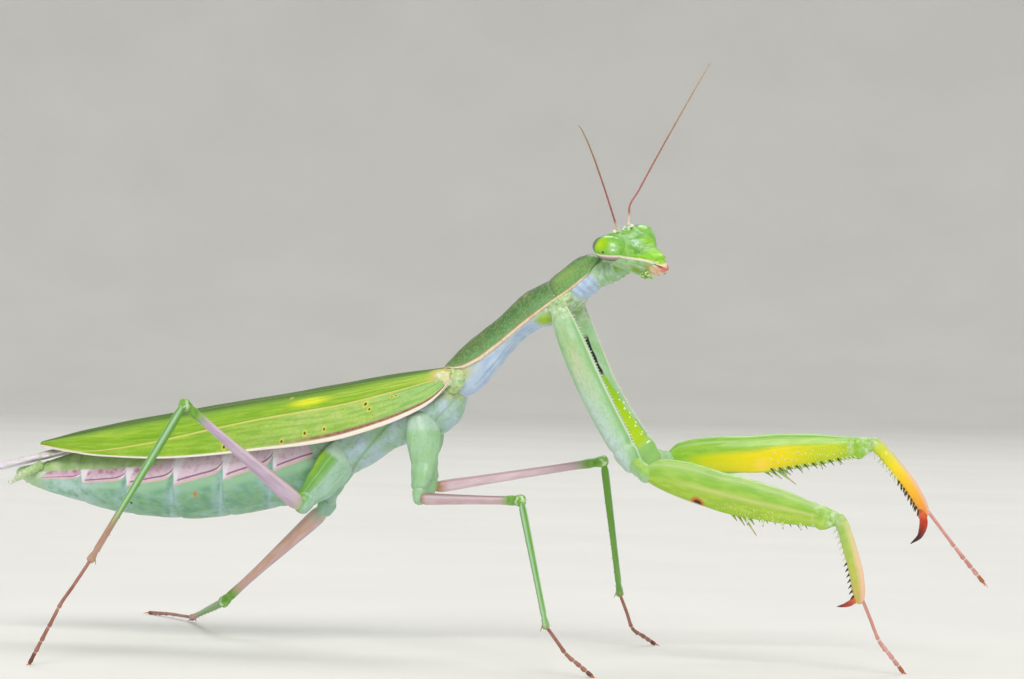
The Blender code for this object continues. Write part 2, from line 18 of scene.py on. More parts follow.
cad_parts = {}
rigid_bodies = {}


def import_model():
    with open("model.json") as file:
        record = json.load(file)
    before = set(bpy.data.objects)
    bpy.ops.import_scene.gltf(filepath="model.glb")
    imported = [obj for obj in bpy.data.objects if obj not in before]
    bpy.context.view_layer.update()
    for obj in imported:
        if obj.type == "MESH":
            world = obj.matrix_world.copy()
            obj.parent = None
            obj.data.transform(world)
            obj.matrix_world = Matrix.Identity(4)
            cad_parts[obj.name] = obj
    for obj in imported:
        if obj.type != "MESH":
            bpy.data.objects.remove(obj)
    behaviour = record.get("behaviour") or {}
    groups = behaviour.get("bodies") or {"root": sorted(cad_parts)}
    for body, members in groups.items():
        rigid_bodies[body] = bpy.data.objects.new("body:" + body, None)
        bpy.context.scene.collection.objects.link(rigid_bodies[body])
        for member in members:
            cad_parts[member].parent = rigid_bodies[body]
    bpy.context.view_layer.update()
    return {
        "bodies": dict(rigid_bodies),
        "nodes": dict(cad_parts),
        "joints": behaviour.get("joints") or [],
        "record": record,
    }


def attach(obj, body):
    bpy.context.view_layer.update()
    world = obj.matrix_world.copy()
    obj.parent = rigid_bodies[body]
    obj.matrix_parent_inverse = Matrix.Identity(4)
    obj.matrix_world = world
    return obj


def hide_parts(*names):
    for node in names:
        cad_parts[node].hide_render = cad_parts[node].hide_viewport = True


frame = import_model()

MM = 0.001
UP = Vector((0, 0, 1))
SIDES = {"left": 1, "right": -1}

# ---- Driving sizes, as the solids have them ----

WAIST = Vector((-0.74, -1.42, 27.4))
PROTHORAX_HEADING = (-13.5, 37.0)
NECKLINE = 20.3
HEAD_HEADING = (-26.0, -23.5)
HEAD_ROLL = 16.5
EYES_FROM_NECKLINE = Vector((2.6, -0.35, 1.45))
EYE_PLACE = (0.34, 2.2, 0.05)
EYE_RADII = (1.8, 1.3, 1.25)
EYE_LEAN = 33.0
FORE_HIP = (14.7, 1.9, -2.0)
MID_HIP = (-2.75, 2.4, 22.4)
HIND_HIP = (-11.0, 2.5, 19.4)
FOOT_HEIGHT = 0.2
WING_THICK = 0.25


# ---- Directions and curves ----

def heading(azimuth, elevation):
    """The unit vector that points that way, in degrees."""
    turn, rise = math.radians(azimuth), math.radians(elevation)
    return Vector((math.cos(rise) * math.cos(turn), math.cos(rise) * math.sin(turn), math.sin(rise)))


def axes(azimuth, elevation, roll=0.0):
    """Forward, left and up of something that heads that way, rolled about its own length."""
    forward = heading(azimuth, elevation)
    left = UP.cross(forward).normalized()
    up = forward.cross(left)
    turn = math.radians(roll)
    over, down = math.cos(turn), math.sin(turn)
    return forward, left * over + up * down, up * over - left * down


def segment_frame(start, end, up=UP, side=1):
    """Forward, left and up of a straight piece from start to end, or forward, right and up."""
    along = (end - start).normalized()
    left = up.cross(along).normalized()
    return along, left * side, along.cross(left)


def measure(point, origin, frame):
    """How far forward, left and up of the origin the point lies."""
    offset = point - origin
    return tuple(offset.dot(axis) for axis in frame)


def spread(start, end, count):
    return [start + (end - start) * i / (count - 1) for i in range(count)]


def smooth(*knots):
    """A curve through (place, value) knots that never overshoots them, flat beyond both ends."""
    places, values = np.array(sorted(knots), float).T
    steps, rises = np.diff(places), np.diff(values)
    grades = rises / steps
    slopes = np.concatenate([grades[:1], np.zeros(len(places) - 2), grades[-1:]])
    for i in range(1, len(places) - 1):
        before, after = grades[i - 1], grades[i]
        if before * after > 0:
            slopes[i] = 2 * before * after / (before + after)

    def value(place):
        place = min(max(place, places[0]), places[-1])
        i = min(max(int(np.searchsorted(places, place)) - 1, 0), len(steps) - 1)
        t = (place - places[i]) / steps[i]
        eased = t * t * (3 - 2 * t)
        bow = t * (1 - t) ** 2 * slopes[i] - t * t * (1 - t) * slopes[i + 1]
        return float(values[i] + rises[i] * eased + bow * steps[i])

    return value


def ripple(x, y, z, pitch=1.0):
    """Smooth random swells and hollows, between -1 and 1, that come pitch times as often."""
    return noise.noise(Vector((x, y, z)) * pitch)


def bell(distance, width):
    """1 at no distance, falling off smoothly to nearly 0 at twice the width."""
    return math.exp(-((distance / width) ** 2))


def ease(value, start, end):
    """0 before start, 1 after end, and smooth between them."""
    t = min(max((value - start) / (end - start), 0.0), 1.0)
    return t * t * (3 - 2 * t)


def on_bow(start, end, bow, t):
    """The point a share t of the way from start to end, on a line that stands off by bow half way."""
    return start.lerp(end, t) + bow * 4 * t * (1 - t)


def bent(points, count):
    """An even run of points along a smooth curve through the given ones."""
    lengths = [0.0]
    for near, far in zip(points, points[1:]):
        lengths.append(lengths[-1] + (far - near).length)
    curves = [smooth(*zip(lengths, [p[k] for p in points])) for k in range(3)]
    return [Vector([curve(s) for curve in curves]) for s in spread(0.0, lengths[-1], count)]


def arc(start, first, last, haste, length, count):
    """Points along a feeler that sets off in one heading and ends in another."""
    points = [start]
    step = length / (count - 1)
    for t in spread(0.0, 1.0, count - 1):
        way = [a + (b - a) * t**haste for a, b in zip(first, last)]
        points.append(points[-1] + heading(*way) * step)
    return points


# ---- Meshes ----

def begin():
    """An empty mesh that keeps a UV map."""
    mesh = bmesh.new()
    mesh.loops.layers.uv.new("UVMap")
    return mesh


def loft(mesh, rings, places=None, closed=True, finish=0):
    """Lays a skin over rings of points. In its UV map u is the place of a ring and v the share of the way
    round it."""
    columns = len(rings) - 1
    rows = len(rings[0]) - (0 if closed else 1)
    places = places or spread(0.0, 1.0, len(rings))
    made = bmesh.ops.create_grid(mesh, x_segments=columns, y_segments=rows, size=0.5, calc_uvs=True)["verts"]
    for corner in made:
        ring = rings[round((corner.co.x + 0.5) * columns)]
        corner.co = ring[round((corner.co.y + 0.5) * rows) % len(ring)]
    uv = mesh.loops.layers.uv.active
    for face in {face for corner in made for face in corner.link_faces}:
        face.material_index = finish
        for loop in face.loops:
            loop[uv].uv.x = places[round(loop[uv].uv.x * columns)]
    if closed:
        bmesh.ops.remove_doubles(mesh, verts=made, dist=1e-4)


def girdle(centre, frame, half_width, top, seam, belly, sides, relief=None, fullness=1.0):
    """A ring across the body, from the belly up its left side and down its right one: a dome above the
    seam, and a rounded keel below it. The further fullness is below 1, the flatter the dome is on top and
    the steeper at its sides. relief(angle) moves the skin out, and an angle of 90 is the top."""
    _, left, up = frame
    ring = []
    for i in range(sides):
        degrees = 360 * i / sides - 90
        angle = math.radians(degrees)
        across, rise = math.cos(angle), math.sin(angle)
        if rise > 0:
            across = math.copysign(abs(across) ** fullness, across)
            rise = rise**fullness
        out = relief(degrees) if relief else 0.0
        height = seam + rise * ((top - seam if rise > 0 else seam - belly) + out)
        ring.append(centre + left * across * (half_width + out) + up * height)
    return ring


def domed(rings, places, bulge=0.25):
    """The rings with both ends closed by low domes."""
    closed = []
    for ring, inner in ((rings[0], rings[1]), (rings[-1], rings[-2])):
        centre = sum(ring, Vector()) / len(ring)
        out = (centre - sum(inner, Vector()) / len(inner)).normalized()
        closed.append([
            [centre + (p - centre) * share + out * bulge * (1 - share * share) for p in ring]
            for share in (0.8, 0.55, 0.25, 0.0)
        ])
    first, last = closed
    all_rings = list(reversed(first)) + rings + last
    return all_rings, [places[0]] * len(first) + list(places) + [places[-1]] * len(last)


def shell(rings, places, bulge=0.25):
    """A closed mesh over the rings, with a low dome at each end."""
    mesh = begin()
    loft(mesh, *domed(rings, places, bulge))
    return mesh


def face_out(mesh):
    bmesh.ops.recalc_face_normals(mesh, faces=mesh.faces)


def thicken(mesh, axis, share, thickness):
    """Lays a sheet's thickness below it. The face that lies that share of the way along the axis shows
    which side is the upper one."""
    face_out(mesh)
    faces = sorted(mesh.faces, key=lambda face: face.calc_center_median()[axis])
    if faces[round(share * (len(faces) - 1))].normal.z < 0:
        bmesh.ops.reverse_faces(mesh, faces=mesh.faces)
    bmesh.ops.solidify(mesh, geom=mesh.faces, thickness=thickness)


def limb(mesh, spine, half_depth, flatness=1.0, up=UP, sides=20, crown=None, relief=None, floor=None,
         finish=0, blunt=0.9, side=1):
    """A round-ended limb along spine, a list of points. half_depth(t) is half its depth along it, and
    flatness its width over its depth. crown(t) adds to its upper edge, and relief(s, degrees) moves the
    skin out at s millimetres along. An angle of 90 is above, and 0 is on its left, or on its right where
    side is -1. What would reach below the floor is pressed flat."""
    lengths = [0.0]
    for near, far in zip(spine, spine[1:]):
        lengths.append(lengths[-1] + (far - near).length)
    cap = [(blunt * math.sin(math.radians(a)), math.cos(math.radians(a))) for a in (18, 36, 54, 72, 90)]
    rings, places = [], []
    for i, point in enumerate(spine):
        along = (spine[min(i + 1, len(spine) - 1)] - spine[max(i - 1, 0)]).normalized()
        left = up.cross(along).normalized() * side
        above = along.cross(left) * side
        s = lengths[i]
        radius = half_depth(s / lengths[-1])
        rise = crown(s / lengths[-1]) if crown else 0.0
        stations = [(0.0, 1.0)]
        if i == 0:
            stations = [(-beyond, share) for beyond, share in reversed(cap)] + stations
        if i == len(spine) - 1:
            stations = stations + cap
        for beyond, share in stations:
            ring = []
            for k in range(sides):
                degrees = 360 * k / sides - 90
                angle = math.radians(degrees)
                out = relief(s, degrees) * share if relief else 0.0
                high = radius * share + out + (rise * share if math.sin(angle) > 0 else 0.0)
                wide = radius * share * flatness + out
                place = point + along * radius * beyond
                place = place + left * math.cos(angle) * wide + above * math.sin(angle) * high
                if floor is not None:
                    place.z = max(place.z, floor)
                ring.append(place)
            rings.append(ring)
            places.append(s + beyond * radius)
    loft(mesh, rings, places, finish=finish)


def thorn(mesh, root, way, length, radius, hook=Vector(), finish=1, sides=6):
    """A spine. In its UV map u is 0 at the root and 1 at the tip."""
    way = way.normalized()
    across = way.orthogonal().normalized()
    level = way.cross(across)
    rings = []
    for t in (-0.12, 0.0, 0.25, 0.55, 0.85, 1.0):
        centre = root + way * length * t + hook * length * max(t, 0) ** 2
        wide = radius * (1 - max(t, 0)) ** 0.75
        turns = [2 * math.pi * k / sides for k in range(sides)]
        rings.append([centre + (across * math.cos(a) + level * math.sin(a)) * wide for a in turns])
    rings.insert(0, [sum(rings[0], Vector()) / sides] * sides)
    loft(mesh, rings, [0.0, 0.0, 0.0, 0.25, 0.55, 0.85, 1.0], finish=finish)


def bead(mesh, centre, radius, finish=0, squash=None, detail=2):
    """A small ball, such as a tubercle. squash flattens it along its three axes."""
    shape = Matrix.Diagonal((*(squash or (1, 1, 1)), 1))
    made = bmesh.ops.create_icosphere(
        mesh, subdivisions=detail, radius=radius, matrix=Matrix.Translation(centre) @ shape,
        calc_uvs=False
    )
    for corner in made["verts"]:
        for face in corner.link_faces:
            face.material_index = finish


def carve(mesh, origin, frame, relief):
    """Moves each point along its normal by relief(forward, left, up), in millimetres."""
    face_out(mesh)
    mesh.normal_update()
    moves = [corner.normal * relief(*measure(corner.co, origin, frame)) for corner in mesh.verts]
    for corner, move in zip(mesh.verts, moves):
        corner.co += move


def add_object(name, data):
    thing = bpy.data.objects.new(name, data)
    bpy.context.collection.objects.link(thing)
    return thing


def add_mesh(name, mesh, finishes):
    """The finished mesh as a smooth object."""
    data = bpy.data.meshes.new(name)
    mesh.to_mesh(data)
    mesh.free()
    data.shade_smooth()
    for finish in finishes:
        data.materials.append(finish)
    return add_object(name, data)


def add_piece(name, mesh, finishes, nodes=(), origin=WAIST, frame=None, recalculate=True):
    """The finished mesh as a piece that rides on the model and stands for the named solids."""
    frame = frame or axes(0, 0)
    if recalculate:
        face_out(mesh)
    layer = mesh.verts.layers.float_vector.new("place")
    for corner in mesh.verts:
        corner[layer] = measure(corner.co, origin, frame)
    bmesh.ops.scale(mesh, vec=(MM, MM, MM), verts=mesh.verts)
    piece = add_mesh(name, mesh, finishes)
    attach(piece, "root")
    if nodes:
        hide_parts(*nodes)


# ---- Finishes ----

def tint(red, green, blue):
    """A colour as a paint chart gives it, from 0 to 255, turned into light."""
    return (*(((c / 255 + 0.055) / 1.055) ** 2.4 if c > 10 else c / 3295 for c in (red, green, blue)), 1)


class Finish:
    """A finish in the making. Each method adds nodes and returns the socket that they end in."""

    def __init__(self, name, roughness=0.45, sheen=0.0, coat=0.0, glow_through=0.0):
        self.material = bpy.data.materials.new(name)
        self.material.use_nodes = True
        self.tree = self.material.node_tree
        self.shader = self.tree.nodes["Principled BSDF"]
        looks = {
            "Roughness": roughness, "Sheen Weight": sheen, "Specular IOR Level": 0.35,
            "Coat Weight": coat, "Coat Roughness": 0.12, "Subsurface Weight": glow_through,
            "Subsurface Radius": (0.5, 1.0, 0.3), "Subsurface Scale": 0.6 * MM,
        }
        for look, value in looks.items():
            self.shader.inputs[look].default_value = value
        self.object = self.node("ShaderNodeTexCoord").outputs["Object"]
        self.place = self.node("ShaderNodeAttribute", attribute_name="place").outputs["Vector"]
        self.along, self.left, self.above = self.parts_of(self.place)
        self.u, self.v, _ = self.parts_of(self.node("ShaderNodeUVMap", uv_map="UVMap").outputs["UV"])

    def node(self, kind, **settings):
        node = self.tree.nodes.new(kind)
        for name, value in settings.items():
            setattr(node, name, value)
        return node

    def feed(self, socket, value):
        """Gives an input its value, or links it. A tuple of three is a colour from a paint chart."""
        if isinstance(value, bpy.types.NodeSocket):
            self.tree.links.new(value, socket)
        else:
            socket.default_value = tint(*value) if isinstance(value, tuple) else value

    def parts_of(self, vector):
        node = self.node("ShaderNodeSeparateXYZ")
        self.feed(node.inputs[0], vector)
        return node.outputs

    def math(self, operation, first, second=0.0, third=0.0):
        node = self.node("ShaderNodeMath", operation=operation)
        for socket, value in zip(node.inputs, (first, second, third)):
            self.feed(socket, value)
        return node.outputs[0]

    def minus(self, first, second):
        return self.math("SUBTRACT", first, second)

    def ranged(self, value, low, high, **settings):
        """The value as a share of the way from low to high."""
        node = self.node("ShaderNodeMapRange", **settings)
        for name, given in (("Value", value), ("From Min", low), ("From Max", high)):
            self.feed(node.inputs[name], given)
        return node.outputs[0]

    def step(self, value, edge, softness=0.1):
        """0 below the edge and 1 above it."""
        low, high = self.minus(edge, softness), self.math("ADD", edge, softness)
        return self.ranged(value, low, high, interpolation_type="SMOOTHSTEP")

    def under(self, value, edge, softness=0.1):
        """1 below the edge and 0 above it."""
        return self.minus(1.0, self.step(value, edge, softness))

    def off(self, value, middle):
        """How far the value is from the middle."""
        return self.math("ABSOLUTE", self.minus(value, middle))

    def band(self, value, middle, half, softness=0.1):
        """1 within half of the middle, and 0 further off."""
        return self.under(self.off(value, middle), half, softness)

    def cycle(self, value, pitch):
        """How far through its own pitch the value is, from 0 to 1."""
        return self.math("FRACT", self.math("DIVIDE", value, pitch))

    def both(self, *masks):
        """Where all of the masks are: their product."""
        return reduce(lambda one, other: self.math("MULTIPLY", one, other), masks)

    def most(self, *masks):
        """Where any of the masks is: the strongest of them."""
        return reduce(lambda one, other: self.math("MAXIMUM", one, other), masks)

    def vector(self, x, y, z=0.0):
        node = self.node("ShaderNodeCombineXYZ")
        for socket, value in zip(node.inputs, (x, y, z)):
            self.feed(socket, value)
        return node.outputs[0]

    def sheet(self, depth):
        """The UV map as a place in millimetres, where v spans that depth."""
        return self.vector(self.u, self.math("MULTIPLY", self.v, depth))

    def folded(self):
        """The place, with the right side folded over on the left one."""
        return self.vector(self.along, self.math("ABSOLUTE", self.left), self.above)

    def spot(self, centre, radius, softness=0.05, squash=(1, 1, 1), within=None):
        """1 within radius of the centre, where squash stretches the measure along each axis."""
        place = within or self.place
        for operation, by in (("SUBTRACT", centre), ("MULTIPLY", squash), ("LENGTH", None)):
            node = self.node("ShaderNodeVectorMath", operation=operation)
            self.feed(node.inputs[0], place)
            if by:
                node.inputs[1].default_value = by
            place = node.outputs[0]
        return self.under(node.outputs["Value"], radius, softness)

    def curve(self, value, *knots):
        """A smooth line through (value, result) knots."""
        (low, _), (high, _) = knots[0], knots[-1]
        node = self.node("ShaderNodeFloatCurve")
        points = node.mapping.curves[0].points
        least = min(result for _, result in knots)
        most = max(result for _, result in knots)
        size = most - least or 1.0
        for i, (place, result) in enumerate(knots):
            where = ((place - low) / (high - low), (result - least) / size)
            if i in (0, len(knots) - 1):
                points[-1 if i else 0].location = where
            else:
                points.new(*where)
        node.mapping.update()
        self.feed(node.inputs["Value"], self.ranged(value, low, high))
        return self.math("MULTIPLY_ADD", node.outputs[0], size, least)

    def pattern(self, kind, size, stretch, vector, **settings):
        """A random pattern about size millimetres across, times stretch along each axis."""
        mapping = self.node("ShaderNodeMapping")
        self.feed(mapping.inputs["Vector"], vector or self.place)
        mapping.inputs["Scale"].default_value = [1 / (size * part) for part in stretch]
        node = self.node(kind, **settings)
        node.inputs["Scale"].default_value = 1.0
        self.feed(node.inputs["Vector"], mapping.outputs[0])
        return node

    def noise(self, size, detail=3.0, stretch=(1, 1, 1), vector=None):
        """Soft random patches, from 0 to 1."""
        node = self.pattern("ShaderNodeTexNoise", size, stretch, vector)
        node.inputs["Detail"].default_value = detail
        return node.outputs["Fac"]

    def cells(self, size, feature="F1", stretch=(1, 1, 1), vector=None):
        """Distances within random cells."""
        node = self.pattern("ShaderNodeTexVoronoi", size, stretch, vector, feature=feature)
        return node.outputs["Distance"]

    def mix(self, share, under, over):
        node = self.node("ShaderNodeMix", data_type="RGBA")
        for socket, value in zip((node.inputs[0], node.inputs[6], node.inputs[7]), (share, under, over)):
            self.feed(socket, value)
        return node.outputs[2]

    def layers(self, ground, *coats):
        """The ground colour with coats laid over it in turn: (mask, colour) or (mask, colour, strength)."""
        for mask, coat, *strength in coats:
            ground = self.mix(self.both(mask, *strength), ground, coat)
        return ground

    def shades(self, value, low, high, *colours):
        """Evenly spaced colours from low to high."""
        node = self.node("ShaderNodeValToRGB")
        ramp = node.color_ramp
        for i, colour in enumerate(colours):
            place = i / (len(colours) - 1)
            point = ramp.elements[i and -1] if i in (0, len(colours) - 1) else ramp.elements.new(place)
            point.color = tint(*colour)
        self.feed(node.inputs[0], self.ranged(value, low, high))
        return node.outputs[0]

    def cloud(self, size, *colours, stretch=(1, 1, 1), vector=None):
        """Colours that drift into each other in patches about size millimetres across."""
        return self.shades(self.noise(size, 3, stretch, vector), 0.36, 0.64, *colours)

    def done(self, colour, height=None, depth=0.05):
        """Paints the shader with the colour, and embosses it by height, depth millimetres deep."""
        self.feed(self.shader.inputs["Base Color"], colour)
        gloss = self.shader.inputs["Roughness"].default_value
        wear = self.math("MULTIPLY_ADD", self.noise(0.5, 4), gloss * 0.4, gloss * 0.8)
        self.feed(self.shader.inputs["Roughness"], wear)
        if height is not None:
            bump = self.node("ShaderNodeBump")
            bump.inputs["Strength"].default_value = 1.0
            bump.inputs["Distance"].default_value = depth * MM
            self.feed(bump.inputs["Height"], height)
            self.feed(self.shader.inputs["Normal"], bump.outputs[0])
        return self.material


# ---- Trunk ----

TRUNK, TRUNK_MIDDLE = axes(0, 0), Vector((WAIST.x, WAIST.y, 24))
RIDGE = smooth((0.6, 28.7), (-5.5, 27.8), (-16, 25.8), (-26.5, 23.9), (-37.5, 21.7), (-43.6, 20.1))
WING_EDGE = smooth((0.6, 27.6), (0, 26.4), (-1.4, 24.9), (-3.4, 23.7), (-6.4, 22.4), (-11.4, 20.9),
                   (-16.6, 20.1), (-30.6, 18.8), (-35, 18.9), (-43.6, 19.8))
WING_SPREAD = smooth((0.6, 2.7), (-3, 3.6), (-10, 4.7), (-18, 5.3), (-26, 5.4), (-34, 4.7), (-40, 3.2),
                     (-43.6, 0.9))
BELLY = smooth((-12.5, 15.4), (-16.8, 14.3), (-24.2, 12.9), (-28, 12.6), (-34, 12.95), (-39.4, 14.05),
               (-43.2, 15.0), (-46.2, 15.4))
FIRST_JOINT, SEGMENT, LAST_JOINT = -17.4, 5.25, -38.4
ABDOMEN_GIRTH = 20.0  # millimetres round it, which turns shares into lengths
THORAX_SLANT = -0.9  # how far the seams of the side plates lean forward as they go down
THORAX_SEAMS = (-0.4, -4.6, -8.8)


def trunk_point(forward, across, height):
    return Vector((WAIST.x + forward, WAIST.y + across, height))


def thorax_finish():
    """Pale blue and mint plates with soft green folds."""
    f = Finish("thorax side", 0.42, coat=0.15)
    slant = f.math("MULTIPLY_ADD", f.above, THORAX_SLANT, f.along)
    level = f.math("MULTIPLY_ADD", f.along, -THORAX_SLANT, f.above)
    folds = f.noise(1.3, 3, (1, 2.6, 2), f.vector(slant, level, f.left))
    ground = f.shades(folds, 0.3, 0.66, (156, 196, 160), (168, 202, 188), (176, 204, 208), (188, 210, 224))
    seams = f.most(*(f.band(slant, place, 0.12, 0.2) for place in THORAX_SEAMS))
    crease = f.noise(0.35, 5, (1, 2, 1))
    colour = f.layers(
        ground,
        (f.step(f.noise(1.6, 2), 0.57, 0.14), (152, 192, 134), 0.5),
        (seams, (130, 172, 116), 0.7),
        (f.both(f.step(f.above, 1.6, 0.8), f.step(f.along, -1.0, 0.8)), (190, 196, 120)),
        (f.step(crease, 0.6, 0.06), (120, 165, 110), 0.35),
    )
    height = f.math("MULTIPLY_ADD", folds, 1.6, crease)
    return f.done(colour, height, 0.12)


def make_thorax():
    """The side plates that carry the wings and the middle and hind legs."""
    widths = smooth((1.3, 1.2), (0.4, 1.9), (-2.5, 2.6), (-7, 3.1), (-14, 3.3), (-14.6, 2.4))
    bottoms = smooth((1.3, 24.2), (0.4, 22.7), (-0.8, 21.9), (-5.3, 20.5), (-9, 18.2), (-13, 16.8),
                     (-14.6, 18.0))
    tops = smooth((1.3, 26.8), (0.2, 27.6), (-6, 26.4), (-13, 25.0), (-14.6, 23.8))
    seams = smooth((1.3, 25.9), (-3, 24.0), (-14.6, 21.0))
    places = spread(1.3, -14.6, 150)
    rings = [
        girdle(trunk_point(x, 0, 0), TRUNK, widths(x), tops(x), seams(x), bottoms(x), 96) for x in places
    ]
    mesh = shell(rings, places)

    def relief(along, left, height):
        """Slanting seams part the plates, each a little swollen, and fine folds cross them."""
        slant = along + THORAX_SLANT * height
        groove = sum(bell(slant - place, 0.16) for place in THORAX_SEAMS)
        swell = 0.12 * ripple(along, left, height, 0.7)
        fold = 0.05 * ripple(slant * 2.4, left, (height - THORAX_SLANT * along) * 0.8)
        return swell + fold - 0.13 * groove

    carve(mesh, TRUNK_MIDDLE, TRUNK, relief)
    add_piece("thorax_side_plates", mesh, [thorax_finish()], ["thorax"], TRUNK_MIDDLE, TRUNK)


# How far down from the middle of the back, as a share of half the way round, the flank's dark line
# lies in a segment, from its front joint to its back joint.
FLANK_LINE = ((0, 0.236), (0.05, 0.249), (0.18, 0.262), (0.5, 0.270), (0.92, 0.282), (1, 0.287))


def abdomen_finish():
    """Teal belly plates with pale joints, and a pink band along each flank with a dark crooked line."""
    f = Finish("abdomen", 0.4, coat=0.2)
    down = f.off(f.v, 0.5)
    within = f.cycle(f.minus(FIRST_JOINT, f.u), SEGMENT)
    leaning = f.math("MULTIPLY_ADD", f.minus(down, 0.28), 6.5, f.u)
    plate = f.cycle(f.minus(FIRST_JOINT, leaning), SEGMENT)
    line = f.curve(within, *FLANK_LINE)
    off_line = f.minus(down, line)
    rear = f.under(f.u, -29.5, 2.0)
    grain = f.noise(0.45, 4, (2.2, 1, 1))
    joint = f.step(f.off(plate, 0.5), 0.475, 0.02)
    dark_side = f.both(f.step(plate, 0.03, 0.02), f.under(plate, 0.12, 0.05))
    wander = f.math("MULTIPLY_ADD", f.noise(0.5, 3), 0.2, 0.29)
    slanting = f.math("MULTIPLY_ADD", f.minus(down, 0.26), 13.0, f.u)
    slanted = f.cycle(f.minus(FIRST_JOINT, slanting), SEGMENT)
    pale_joint = f.step(f.off(slanted, 0.5), wander, 0.05)
    band = f.under(off_line, 0.010, 0.004)
    sheet = f.sheet(ABDOMEN_GIRTH)
    colour = f.layers(
        f.cloud(1.3, (112, 166, 132), (132, 182, 150), (152, 196, 180), stretch=(1.5, 1, 1)),
        (f.step(f.noise(0.9, 4), 0.55, 0.1), (150, 192, 132), 0.5),
        (f.step(grain, 0.55, 0.1), (108, 165, 138), 0.35),
        (f.both(f.band(off_line, 0.03, 0.016, 0.012), f.step(within, 0.1, 0.1)), (152, 198, 162)),
        (dark_side, (98, 150, 128), 0.55),
        (f.both(joint, f.step(f.noise(0.7), 0.45, 0.15)), (178, 210, 212), 0.5),
        (f.both(f.step(f.off(plate, 0.5), 0.36, 0.12), f.step(f.noise(1.1, 4), 0.47, 0.12)),
         (170, 204, 206), 0.7),
        (f.both(f.under(f.u, -37, 4), f.step(f.noise(1.0, 4), 0.46, 0.14)), (180, 210, 204)),
        (band, f.cloud(0.8, (212, 182, 204), (226, 206, 224), (220, 196, 208))),
        (f.both(band, rear, f.band(f.v, 0.5, 0.255, 0.02), f.step(f.noise(0.8), 0.47, 0.2)),
         (172, 112, 136)),
        (f.band(off_line, 0.0115, 0.003, 0.003), (226, 186, 184)),
        (f.both(band, pale_joint), (238, 230, 242)),
        (f.both(f.band(off_line, 0.0, 0.0028, 0.0022), f.under(within, 0.93, 0.02)), (146, 98, 128)),
        (f.both(f.under(down, 0.222, 0.006), rear), f.cloud(1.2, (150, 190, 112), (184, 206, 156))),
        (f.under(f.u, -43.2, 1.0), (176, 208, 160)),
        (f.spot((-25.7, 16.7, 0), 0.2, 0.12, within=sheet), (200, 140, 70)),
        (f.spot((-32.9, 17.46, 0), 0.13, 0.08, within=sheet), (50, 60, 50)),
    )
    height = f.layers(grain, (joint, (0, 0, 0)))
    return f.done(colour, height, 0.05)


def abdomen_ring(x, inset, sides=96):
    end = smooth((-12.4, 0.55), (-13.4, 0.85), (-15, 1.0), (-41, 1.0), (-43.8, 0.8), (-46.2, 0.4))
    top = RIDGE(x) - 2.0
    seam = BELLY(x) + (top - BELLY(x)) * 0.55
    wide = max(WING_SPREAD(x) - 1.35, 1.6) * end(x) - inset
    return girdle(
        trunk_point(x, 0, 0), TRUNK, wide, seam + (top - seam) * end(x) - inset, seam,
        seam - (seam - BELLY(x)) * min(end(x) * 1.15, 1.0) + inset, sides,
    )


def make_abdomen():
    """Rings of plate that overlap backwards like roof tiles, each rounded in at its front edge."""
    mesh = begin()
    joints = [-12.4]
    joint = FIRST_JOINT
    while joint > LAST_JOINT - 0.1:
        joints.append(joint)
        joint -= SEGMENT
    joints.append(-46.0)
    for front, back in zip(joints, joints[1:]):
        length = abs(back - front)
        tuck = smooth((0, 0.3), (0.3, 0.12), (0.9, 0.04), (2.2, 0.0), (length - 0.25, 0.0),
                      (length + 0.12, 0.03), (length + 0.3, 0.22))
        places = [front - d for d in spread(0.0, length + 0.3, 34)]
        rings = [abdomen_ring(x, tuck(front - x)) for x in places]
        loft(mesh, *domed(rings, places, 0.1))
    origin = Vector((WAIST.x, WAIST.y, 16.5))

    def relief(along, left, height):
        """A soft fold runs along each flank, between the back plates and the belly plates."""
        line = 0.55 * (RIDGE(along) - 2.0 - BELLY(along)) + BELLY(along) - 16.5
        fold = bell(height - line + 0.9, 0.3) + 0.6 * bell(height - line - 1.5, 0.3)
        return -0.08 * fold + 0.05 * ripple(along * 0.8, left, height * 1.2)

    carve(mesh, origin, TRUNK, relief)
    add_piece("abdomen_plates", mesh, [abdomen_finish()], ["abdomen"], origin, TRUNK)


def make_crumple(name, centre, frame, squash, finish, swell, lumps, wrinkles, tuck):
    """A crumpled knob, or a fold of skin: swell, how often lumps and wrinkles come, and tuck shape it."""
    mesh = begin()
    bead(mesh, Vector(), 1.0, squash=squash, detail=5)
    turn = Matrix(frame).transposed()
    for corner in mesh.verts:
        corner.co = centre + turn @ corner.co

    def relief(along, left, above):
        folds = 0.14 * abs(ripple(along, left, above, wrinkles))
        return swell * ripple(along, left, above, lumps) + folds - tuck

    carve(mesh, centre, frame, relief)
    add_piece(name, mesh, [finish], (), centre, frame)


def cercus_finish():
    f = Finish("tail feeler", 0.45)
    colour = f.layers(
        f.shades(f.u, 0.0, 3.2, (168, 198, 132), (190, 214, 160), (226, 232, 214)),
        (f.step(f.noise(0.3), 0.55, 0.1), (140, 180, 105), 0.5),
    )
    return f.done(colour, f.noise(0.12), 0.03)


def make_cercus(side, label, finish):
    """A short tail feeler of soft beads."""
    root = trunk_point(-43.4, side * 1.3, 17.6)
    tip = trunk_point(-46.2, side * 2.3, 15.9)
    spine = bent([root, root.lerp(tip, 0.5) + Vector((0, side * 0.3, 0)), tip], 48)
    length = (tip - root).length
    mesh = begin()
    limb(mesh, spine, smooth((0, 0.5), (0.5, 0.45), (1, 0.24)), sides=20,
         relief=lambda s, _: -0.07 * bell((s / length * 8) % 1 - 0.5, 0.16))
    add_piece("cercus_rings_" + label, mesh, [finish], ["cercus_" + label], root,
              segment_frame(root, tip))


# ---- Wings ----
# The veins of a fore wing: how far down from the ridge, as a share, each lies at x.

